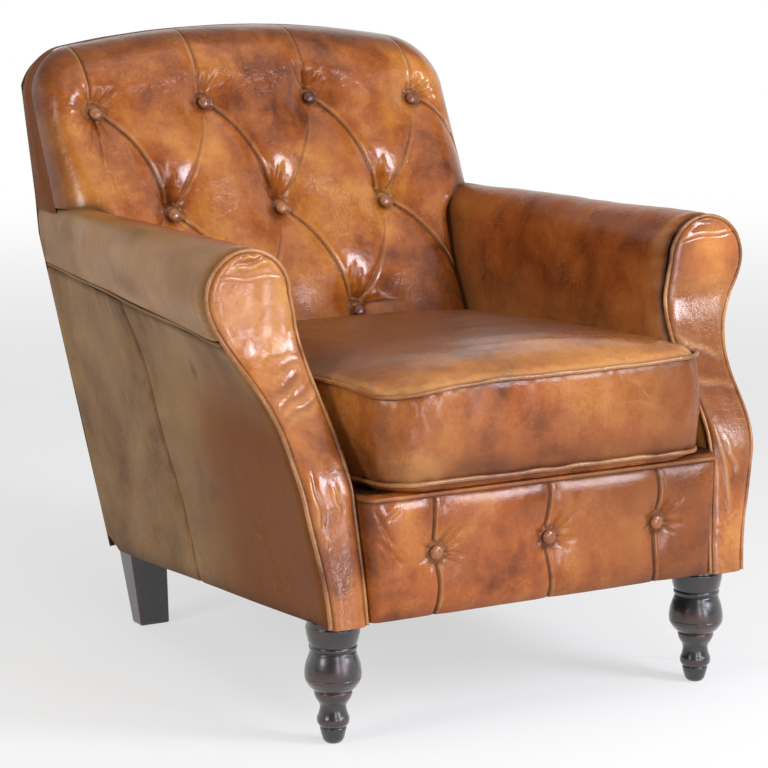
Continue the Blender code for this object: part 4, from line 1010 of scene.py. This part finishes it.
def border_piece():
    end = 1 - np.linspace(1, 0, 24, endpoint=False) ** 2 * 0.06
    u = np.concatenate([-end[::-1], np.linspace(-0.94, 0.94, 270)[1:-1], end])[None, :]
    z = np.concatenate([np.linspace(BORDER_LOW, 0.166, 6, endpoint=False), np.linspace(0.166, LIP_LOW, 84),
                        np.linspace(0.3095, 0.317, 12), np.full(8, 0.3172)])[:, None]
    back = np.concatenate([np.zeros(102), np.linspace(0.006, 0.075, 8)])[:, None]
    x = u * (inner_x(z, 0.0) - 0.0008)
    u, z, back = np.broadcast_arrays(np.abs(u), z, back)
    v = (z - BORDER_LOW) / 0.157
    place = xyz(x, 0, z)
    rise = 0.0105 * (1 - u ** 16) * (1 - np.abs(2 * np.clip(v / 0.95, 0, 1) - 1) ** 5)
    rise += 0.0011 * ripple(place, (0.07, 1, 0.05), 5) + 0.0004 * ripple(place, (0.02, 1, 0.03), 6)
    # A dark line under the lip: dirt and painted shade; the lip's edge is worn.
    dirt, worn = 0.7 * bell(z - LIP_LOW, 0.0020), 0.15 * bell(z - 0.3125, 0.003)
    lines = []
    for i, bx in enumerate((-0.163, 0.0, 0.163)):
        d = np.hypot(x - bx, z - BUTTON_Z)
        rise -= 0.0105 * np.exp(-(d / 0.030) ** 1.3)
        s = x - (bx + 0.0035 * np.sin((z - 0.16) * 42 + i * 1.4))
        live = smooth((d - 0.009) / 0.008) * smooth((LIP_LOW - z) / 0.004)
        rise += live * (-0.0042 * np.exp(-np.abs(s) / 0.008) - 0.0016 * bell(s + 0.0010, 0.0013)
                        + 0.0020 * bell(s - 0.0022, 0.0017))
        # Dirt and painted shade in each pleat's valley and in the hollow round each button; wear with a
        # painted highlight on each pleat's lip.
        dirt = np.maximum(dirt, live * bell(s + 0.0012, 0.0018))
        dirt = np.maximum(dirt, 0.6 * bell(d - 0.0125, 0.0045))
        worn = np.maximum(worn, live * 0.3 * bell(s - 0.0024, 0.0016))
        lines += rays((bx, BUTTON_Z), ((62, .055, 2.2), (40, .060, 2.0), (20, .040, 1.6), (-8, .045, 1.6),
                                       (-35, .035, 1.4), (150, .040, .9), (200, .045, .9), (245, .040, .8),
                                       (118, .040, .8)))
    gather(rise, x, z, lines, slope=1.0, waver=0.0, start=0.007, high=0.0024, thin=0.0018)
    for first, last, deep in (((-0.246, 0.300), (-0.228, 0.262), 2.0),
                              ((-0.240, 0.262), (-0.215, 0.235), 1.6),
                              ((-0.244, 0.285), (-0.220, 0.300), 1.2)):
        t, s = beside_line(x, z, first, last)
        fade = 0.001 * deep * smooth((t + 0.2) / 0.3) * smooth((1.2 - t) / 0.3)
        rise += fade * (bell(s - 0.003, 0.004) - bell(s + 0.003, 0.003))
    lip = smooth((z - 0.3085) / 0.0012)
    rise = rise * (1 - lip) + lip * (0.0060 - 0.010 * smooth((z - 0.314) / 0.004))
    rise -= 0.0022 * bell(z - 0.3088, 0.0010)
    turned = np.sqrt(1 - np.clip((u - 0.955) / 0.045, 0, 1) ** 2)
    y = mix(face_y(z) + 0.006, -0.063 + 0.004 - rise, turned) + back
    z = z + (0.0012 - 0.047 * back) * (back > 0)
    # Darker at the bottom, at the turned ends and on the hidden apron under the cushion: dirt and painted
    # shade.
    dirt = dirt + 0.35 * bell(z - BORDER_LOW, 0.010) + 0.7 * bell(turned, 0.25) + 0.9 * (back > 0)
    # Painted shade: random patches in the upper part, and darker to the right.
    shade = 0.35 * smooth(0.5 + 0.9 * ripple(place, (0.05, 1, 0.05), 15)) * smooth((z - 0.24) / 0.06)
    shade = shade + 0.60 * smooth((x + 0.08) / 0.32)
    return piece_from("border_cover", xyz(x, y, z), seat_leather, toward=(0, -1, 0), dirty=dirt, worn=worn,
                      shade=shade)


border = settle(border_piece(), "leather_seat", "front_border", fill=0.5)
print("border", len(border.data.polygons), "faces")

# %% [markdown]
# ## Outside back and the band round it
# The rear is one flat hide, and a narrow band closes the thickness of the back. It is the plainest leather
# on the chair: a few slack ripples, a turned edge and a line of stitches beside it.


# %% Band and outside back
def band_piece():
    up = np.linspace(0.583, back_top(HALF_WIDTH), 50, endpoint=False)
    a = np.linspace(0, math.pi / 2, 50, endpoint=False)
    over = np.concatenate([CORNER - HALF_WIDTH - CORNER * np.cos(a), np.linspace(CORNER - HALF_WIDTH, 0, 70)])
    x, z = np.concatenate([np.full(50, -HALF_WIDTH), over]), np.concatenate([up, back_top(over)])
    x, z = np.concatenate([x, -x[-2::-1]]), np.concatenate([z, z[-2::-1]])
    dx, dz = np.gradient(x), np.gradient(z)
    length = np.hypot(dx, dz)
    nx, nz = (-dz / length)[:, None], (dx / length)[:, None]
    x, z = x[:, None], z[:, None]
    k = np.concatenate([np.linspace(0, 0.9, 30), np.linspace(0.91, 1.0, 8)])[None, :]
    drop = 0.004 * np.maximum(k - 0.4, 0) ** 2 / 0.36 + 0.0001
    drop = drop - 0.0008 * ripple(xyz(x, k * 0.2, z), 0.05, 7) * np.sin(math.pi * k)
    z = z - nz * drop
    y = mix(pad_rear_y(z) - 0.0042, outside_y(z) - 0.0105, k)
    # Painted shade: the band takes the shaded colour nearly all over, with dirt and painted shade at its rear
    # seam.
    return piece_from("back_band", xyz(x - nx * drop, y, z), outside_leather, toward=(0, 0, 1),
                      dirty=0.6 * bell(1 - k, 0.05), worn=0.0, shade=0.95)


def outside_back_piece():
    u = np.concatenate([-np.linspace(1, 0.94, 14)[:-1], np.linspace(-0.94, 0.94, 120),
                        np.linspace(0.94, 1, 14)[1:]])[None, :]
    k = np.concatenate([np.linspace(0, 0.94, 130, endpoint=False), np.linspace(0.94, 1, 16)])[:, None]
    top = back_top((HALF_WIDTH - 0.006) * u) - 0.007
    z = mix(0.114, top, k)
    at_arm = outer_x(ROLL_Z, 1.0) - 0.0005
    half = np.where(z < ROLL_Z, outer_x(z, 1.0) - 0.0005,
                    mix(at_arm, HALF_WIDTH - 0.0055, smooth((z - ROLL_Z) / 0.06)))
    x = u * half
    place = xyz(x, 0, z)
    edge = 0.006 * np.maximum(np.abs(u) ** 12, k ** 14)
    slack = 0.0022 * ripple(place, (0.14, 1, 0.18), 33) + 0.0008 * ripple(place, (0.05, 1, 0.12), 34)
    gap = np.minimum(half - np.abs(x), top - z)
    stitch = bell(gap - 0.010, 0.0014)
    pull = ripple(place, (0.020, 1, 0.020), 35) * bell(gap - 0.014, 0.014)
    y = outside_y(z) - edge + (slack + 0.0008 * pull) * smooth(gap / 0.03) - 0.0012 * stitch - 0.0006
    beads = smooth(np.sin((x + z) * 2 * math.pi / 0.0055) * 2)
    # Dark stitch holes between pale stitches, and darker along the bottom edge.
    return piece_from("rear_panel", xyz(x, y, z), outside_leather, toward=(0, 1, 0),
                      dirty=0.55 * stitch * (1 - beads) + 0.35 * bell(z - 0.114, 0.015),
                      worn=0.35 * stitch * beads + 0.25 * bell(gap, 0.004),
                      shade=0.30 * smooth(0.4 + ripple(place, 0.16, 36)))


settle(band_piece(), "leather_back", "back_border")
settle(outside_back_piece(), "leather_outside", "outside_back")
print("rear pieces", 2)

# %% [markdown]
# ## Legs
# The front legs are turned: a collar, a ball with a cut line round it, two rings and a small toe. The back
# legs are square and rake with the frame. The finish is black stain over red mahogany, rubbed thin where
# feet and brooms catch it, so the red shows on the ball and along the edges.


# %% Ebonised wood
def ebonised(name):
    look, at, shader = new_look(name)
    grain = noise(stretched(at, (0, 0, 0), (120.0, 120.0, 9.0)), 1.0, 4.0, 0.6, 0.3)
    patch = noise(at, 34.0, 3.0, 0.55)
    colour = grain.ramp((0.30, (0.006, 0.006, 0.008)), (0.62, (0.013, 0.010, 0.011)),
                        (0.80, (0.040, 0.015, 0.012)))
    worn = painted(at, "worn")
    rub = (worn * (0.4 + patch)).clamp()
    colour = colour.blend((0.075, 0.016, 0.010), (patch.step(0.54, 0.70) * 0.40 + rub * 0.6).clamp())
    nick = noise(at, 130.0, 3.0, 0.7).step(0.66, 0.72) * worn
    colour = colour.blend((0.22, 0.13, 0.09), nick.clamp())
    # Near black where the piece paints dirt and the shade of its cut lines.
    colour = colour.blend((0.003, 0.002, 0.002), painted(at, "dirty"))
    matt = 0.27 + (patch - 0.5) * 0.25 + (grain - 0.5) * 0.12 + nick * 0.2
    feed(shader, Base_Color=colour, Roughness=matt.clamp(0.15, 0.7), Coat_Weight=0.9, Coat_Roughness=0.30,
         Normal=(grain * 0.5 + patch * 0.9).bump(0.22, 0.0025))
    return look


ebony = ebonised("ebonised_wood")
# Turned leg from the floor up: height and radius
profile = np.array([(0.0, 0.0085), (0.0008, 0.0102), (0.004, 0.0129), (0.014, 0.0158), (0.0195, 0.0168),
                    (0.0203, 0.0158), (0.0212, 0.0158), (0.0222, 0.0176), (0.0250, 0.0196), (0.0285, 0.0202),
                    (0.0320, 0.0200), (0.0352, 0.0186), (0.0370, 0.0180), (0.0420, 0.0167), (0.0470, 0.0164),
                    (0.0505, 0.0174), (0.0530, 0.0192), (0.0565, 0.0214), (0.0600, 0.0229), (0.0630, 0.0237),
                    (0.0655, 0.0236), (0.0662, 0.0228), (0.0672, 0.0236), (0.0690, 0.0262), (0.0720, 0.0292),
                    (0.0790, 0.0340), (0.0836, 0.0352), (0.0842, 0.0347), (0.0848, 0.0353), (0.0900, 0.0356),
                    (0.0980, 0.0346), (0.1060, 0.0323), (0.1130, 0.0296), (0.1160, 0.0288), (0.1168, 0.0280),
                    (0.1178, 0.0282), (0.1195, 0.0298), (0.1216, 0.0302), (0.1236, 0.0298), (0.1244, 0.0288),
                    (0.1254, 0.0296), (0.1300, 0.0312), (0.1410, 0.0334), (0.1480, 0.0337), (0.1490, 0.0325),
                    (0.1552, 0.0320)])


def front_leg(name, side, seed):
    steps = np.arange(len(profile))
    fine = np.linspace(0, len(profile) - 1, 4 * len(profile))
    h, r = (np.interp(fine, steps, profile[:, i]) for i in (0, 1))
    h, r = (np.concatenate([v[:1], np.convolve(v, (0.25, 0.5, 0.25), "valid"), v[-1:]]) for v in (h, r))
    a = np.linspace(0, 2 * math.pi, 64, endpoint=False)
    ring = xyz(np.cos(a), np.sin(a), 0)
    points = ring[None] * r[:, None, None] + np.array([side * 0.273, 0, 0])
    points[..., 2] += h[:, None]
    dent = ripple(points, 0.016, seed)
    points[..., :2] += ring[None, :, :2] * (0.00035 * dent)[..., None]
    ball = sum(bell(h - z, wide) for z, wide in ((0.083, 0.012), (0.0285, 0.004), (0.0635, 0.004)))
    cuts = ((0.0842, 0.0007), (0.0205, 0.0008), (0.1172, 0.0009), (0.1244, 0.0008))
    cut = sum(bell(h - z, wide) for z, wide in cuts)
    worn = np.clip(ball, 0, 1)[:, None] * smooth(0.5 + ripple(points, 0.014, seed + 1))
    # The cut lines are painted dark: dirt and painted shade in the grooves.
    return piece_from(name, points, ebony, ring=True, caps=True, worn=worn, dirty=cut[:, None])


def back_leg(name, side):
    """Square tapered leg with rounded arrises."""
    rings, worn = [], []
    for z in np.concatenate([[0.0, 0.0006, 0.0015], np.linspace(0.004, 0.1130, 40)]):
        k = z / 0.1130
        w, d = mix(0.044, 0.056, k) / 2, mix(0.028, 0.040, k) / 2
        inset = 0.0012 * (1 - smooth(z / 0.0015))
        w, d, r = w - inset, d - inset, 0.0018
        pts = []
        for start, arc, side_end in ((0, (w - r, d - r), (r - w, d)), (90, (r - w, d - r), (-w, r - d)),
                                     (180, (r - w, r - d), (w - r, -d)), (270, (w - r, r - d), (w, d - r))):
            a = np.radians(start + np.linspace(0, 90, 6))
            pts.append(np.array(arc) + r * np.stack([np.cos(a), np.sin(a)], -1))
            pts.append(mix(pts[-1][-1], np.array(side_end), np.linspace(0, 1, 12)[1:-1, None]))
        xy = np.concatenate(pts)
        rings.append(np.column_stack([xy[:, 0] + side * (0.222 + 0.012 * k), xy[:, 1] + 0.6246,
                                      np.full(len(xy), z)]))
        corner = np.minimum(np.abs(np.abs(xy[:, 0]) - w), 1) + np.abs(np.abs(xy[:, 1]) - d)
        worn.append(bell(corner, 0.0035))
    return piece_from(name, np.stack(rings), ebony, ring=True, caps=True, worn=np.stack(worn), dirty=0.0)


for word, side in SIDES:
    settle(front_leg(word + "_turned_leg", side, 5 + side), "ebonised_wood", word + "_front_leg")
    settle(back_leg(word + "_square_leg", side), "ebonised_wood", word + "_back_leg")
print("legs", 4)

# %% [markdown]
# ## Inside the chair
# The rails, springs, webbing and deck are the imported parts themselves. They are hardly seen, and each still
# gets its own finish: sawn beech, dull steel, hessian with a woven grain and thin black dust cloth.


# %% Beech, steel and cloth
def beech():
    look, at, shader = new_look("beech")
    grain = noise(stretched(at, (0, 0, 0), (14.0, 60.0, 60.0)), 1.0, 5.0, 0.6, 0.6)
    flecks = noise(stretched(at, (0, 0, 0), (60.0, 300.0, 300.0)), 1.0, 2.0).step(0.60, 0.72)
    colour = grain.ramp((0.2, (0.33, 0.20, 0.11)), (0.8, (0.52, 0.36, 0.22)))
    feed(shader, Base_Color=colour.blend((0.26, 0.14, 0.07), flecks * 0.6),
         Roughness=(0.55 + grain * 0.2).clamp(), Normal=(grain + flecks * 0.4).bump(0.3, 0.001))
    return look


def steel():
    look, at, shader = new_look("spring_steel")
    patch = noise(at, 60.0, 4.0, 0.6)
    feed(shader, Base_Color=patch.ramp((0.35, (0.30, 0.30, 0.31)), (0.75, (0.16, 0.10, 0.07))),
         Roughness=(0.3 + patch * 0.35).clamp(), Metallic=0.9)
    return look


def woven(name, dark, light, pitch, rough):
    """Plain weave: two sets of threads that pass over each other in turn."""
    look, at, shader = new_look(name)
    split = at.node("ShaderNodeSeparateXYZ", Vector=at).socket.node
    x, y, z = (Wire(at.tree, socket) for socket in split.outputs)
    step, across = 2 * math.pi / pitch, y + z
    warp, weft = (x * step).maths("SINE"), (across * step).maths("SINE")
    over = ((x * (step / 2)).maths("SINE") * (across * (step / 2)).maths("SINE")).step(-0.2, 0.2)
    height = (over * warp + (1 - over) * weft) * 0.5 + 0.5
    fibre = noise(at, 900.0, 2.0, 0.6)
    tone = (height * 0.7 + fibre * 0.4).clamp()
    feed(shader, Base_Color=tone.ramp((0.1, dark), (0.9, light)), Roughness=(rough + fibre * 0.1).clamp(),
         Normal=(height + fibre * 0.3).bump(0.5, 0.0006))
    return look


looks = {"beech": beech(), "spring_steel": steel(),
         "hessian": woven("hessian", (0.16, 0.11, 0.06), (0.42, 0.33, 0.21), 0.0024, 0.82),
         "dust_cloth": woven("dust_cloth", (0.012, 0.012, 0.009), (0.050, 0.048, 0.034), 0.0012, 0.85)}
kinds = (("rail", "beech"), ("stump", "beech"), ("block", "beech"), ("post", "beech"),
         ("spring", "spring_steel"), ("webbing", "hessian"), ("deck", "hessian"),
         ("dust_cover", "dust_cloth"))
kept = 0
for node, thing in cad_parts.items():
    for word, slot in kinds:
        if word in node:
            for place in thing.material_slots:
                place.material = looks[slot]
            kept += 1
            break
print("packed parts with a new finish", kept)

# %% [markdown]
# ## Floor, backdrop and light
# A pale floor that curves up behind the chair keeps the background plain. Light comes as it does in a
# showroom: tall windows in front make the long pale glints on the folds, a soft sky lamp fills from above,
# and a faint surrounding glow keeps shadows open.


# %% Floor and backdrop
FLAT, CURVE, WALL_TOP = 24.0, 8.0, 21.0


def stage_look():
    """A matt floor for light and shadow that turns plain white to the eye with distance."""
    look, at, shader = new_look("stage")
    tree = look.node_tree
    path = tree.nodes.new("ShaderNodeLightPath")
    seen = [Wire(tree, path.outputs[n]) for n in ("Is Camera Ray", "Is Glossy Ray", "Is Transmission Ray")]
    away = at.node("ShaderNodeVectorMath", {"operation": "LENGTH"}, 1, Vector=at)
    mask = seen[0].maths("MAXIMUM", seen[1]).maths("MAXIMUM", seen[2]) * away.step(1.5, 5.5, 0.60, 1.0)
    feed(shader, Base_Color=(0.90, 0.90, 0.90, 1.0), Roughness=0.9, Specular_IOR_Level=0.1)
    glow = tree.nodes.new("ShaderNodeEmission")
    glow.inputs[0].default_value = (1.0, 1.0, 1.0, 1.0)
    both = tree.nodes.new("ShaderNodeMixShader")
    tree.links.new(mask.socket, both.inputs[0])
    tree.links.new(shader.outputs[0], both.inputs[1])
    tree.links.new(glow.outputs[0], both.inputs[2])
    tree.links.new(both.outputs[0], tree.nodes["Material Output"].inputs[0])
    return look


def sweep():
    """Floor that turns up into a wall far behind, so that no camera stands outside it."""
    turn = np.linspace(0, math.pi / 2, 24)[1:]
    r = np.concatenate([np.linspace(0.001, FLAT, 30), FLAT + CURVE * np.sin(turn), np.full(10, FLAT + CURVE)])
    z = np.concatenate([np.zeros(30), CURVE - CURVE * np.cos(turn), np.linspace(9.0, WALL_TOP, 10)])
    a = np.linspace(math.radians(-42), math.radians(162), 90)
    return xyz(r[:, None] * np.cos(a), r[:, None] * np.sin(a) - SET_BACK, z[:, None])


wall = piece_from("backdrop", sweep(), stage_look(), toward=(0, 0, 1))
x, y = np.meshgrid(np.linspace(-33, 33, 19), np.linspace(-33, 33, 19))
ground = piece_from("floor", xyz(x, y - SET_BACK, 0 * x - 0.0005), wall.data.materials[0], toward=(0, 0, 1))
print("stage", len(wall.data.polygons))


# %% Lamps
def window(name, place, target, size, watts, colour):
    """A tall rectangle of light at a place, turned to face the target."""
    lamp = bpy.data.lights.new(name, "AREA")
    lamp.shape, (lamp.size, lamp.size_y) = "RECTANGLE", size
    lamp.energy, lamp.color = watts, colour
    made = bpy.data.objects.new(name, lamp)
    made.location = place
    way = np.array(target) - np.array(place)
    yaw = math.atan2(way[1], way[0]) - math.pi / 2
    pitch = math.atan2(way[2], math.hypot(way[0], way[1]))
    made.rotation_euler = (math.pi / 2 + pitch, 0.0, yaw)
    bpy.context.collection.objects.link(made)


window("window_front", (0.55, -2.50, 0.60), (-0.2, 0.0, 0.4), (0.22, 0.90), 12.0, (0.90, 0.90, 1.0))
window("window_high", (1.38, -2.25, 1.62), (0.0, 0.0, 0.6), (0.72, 1.00), 58.0, (0.88, 0.89, 1.0))
window("window_middle", (-0.55, -2.9, 0.85), (-0.2, 0.0, 0.4), (0.28, 1.3), 14.0, (0.92, 0.93, 1.0))
window("window_left", (-3.2, -0.9, 1.7), (0.0, 0.0, 0.4), (0.9, 1.2), 36.0, (1.0, 0.97, 0.93))
window("sky", (0.2, -0.8, 3.3), (0.0, 0.0, 0.4), (3.4, 3.0), 30.0, (1.0, 0.97, 0.92))
world = bpy.data.worlds.new("room")
bpy.context.scene.world = world
world.use_nodes = True
glow, strength = world.node_tree.nodes["Background"].inputs[:2]
glow.default_value, strength.default_value = (0.96, 0.97, 1.0, 1.0), 0.27
bpy.context.scene.view_settings.view_transform = "Standard"
print("lamps", 5)
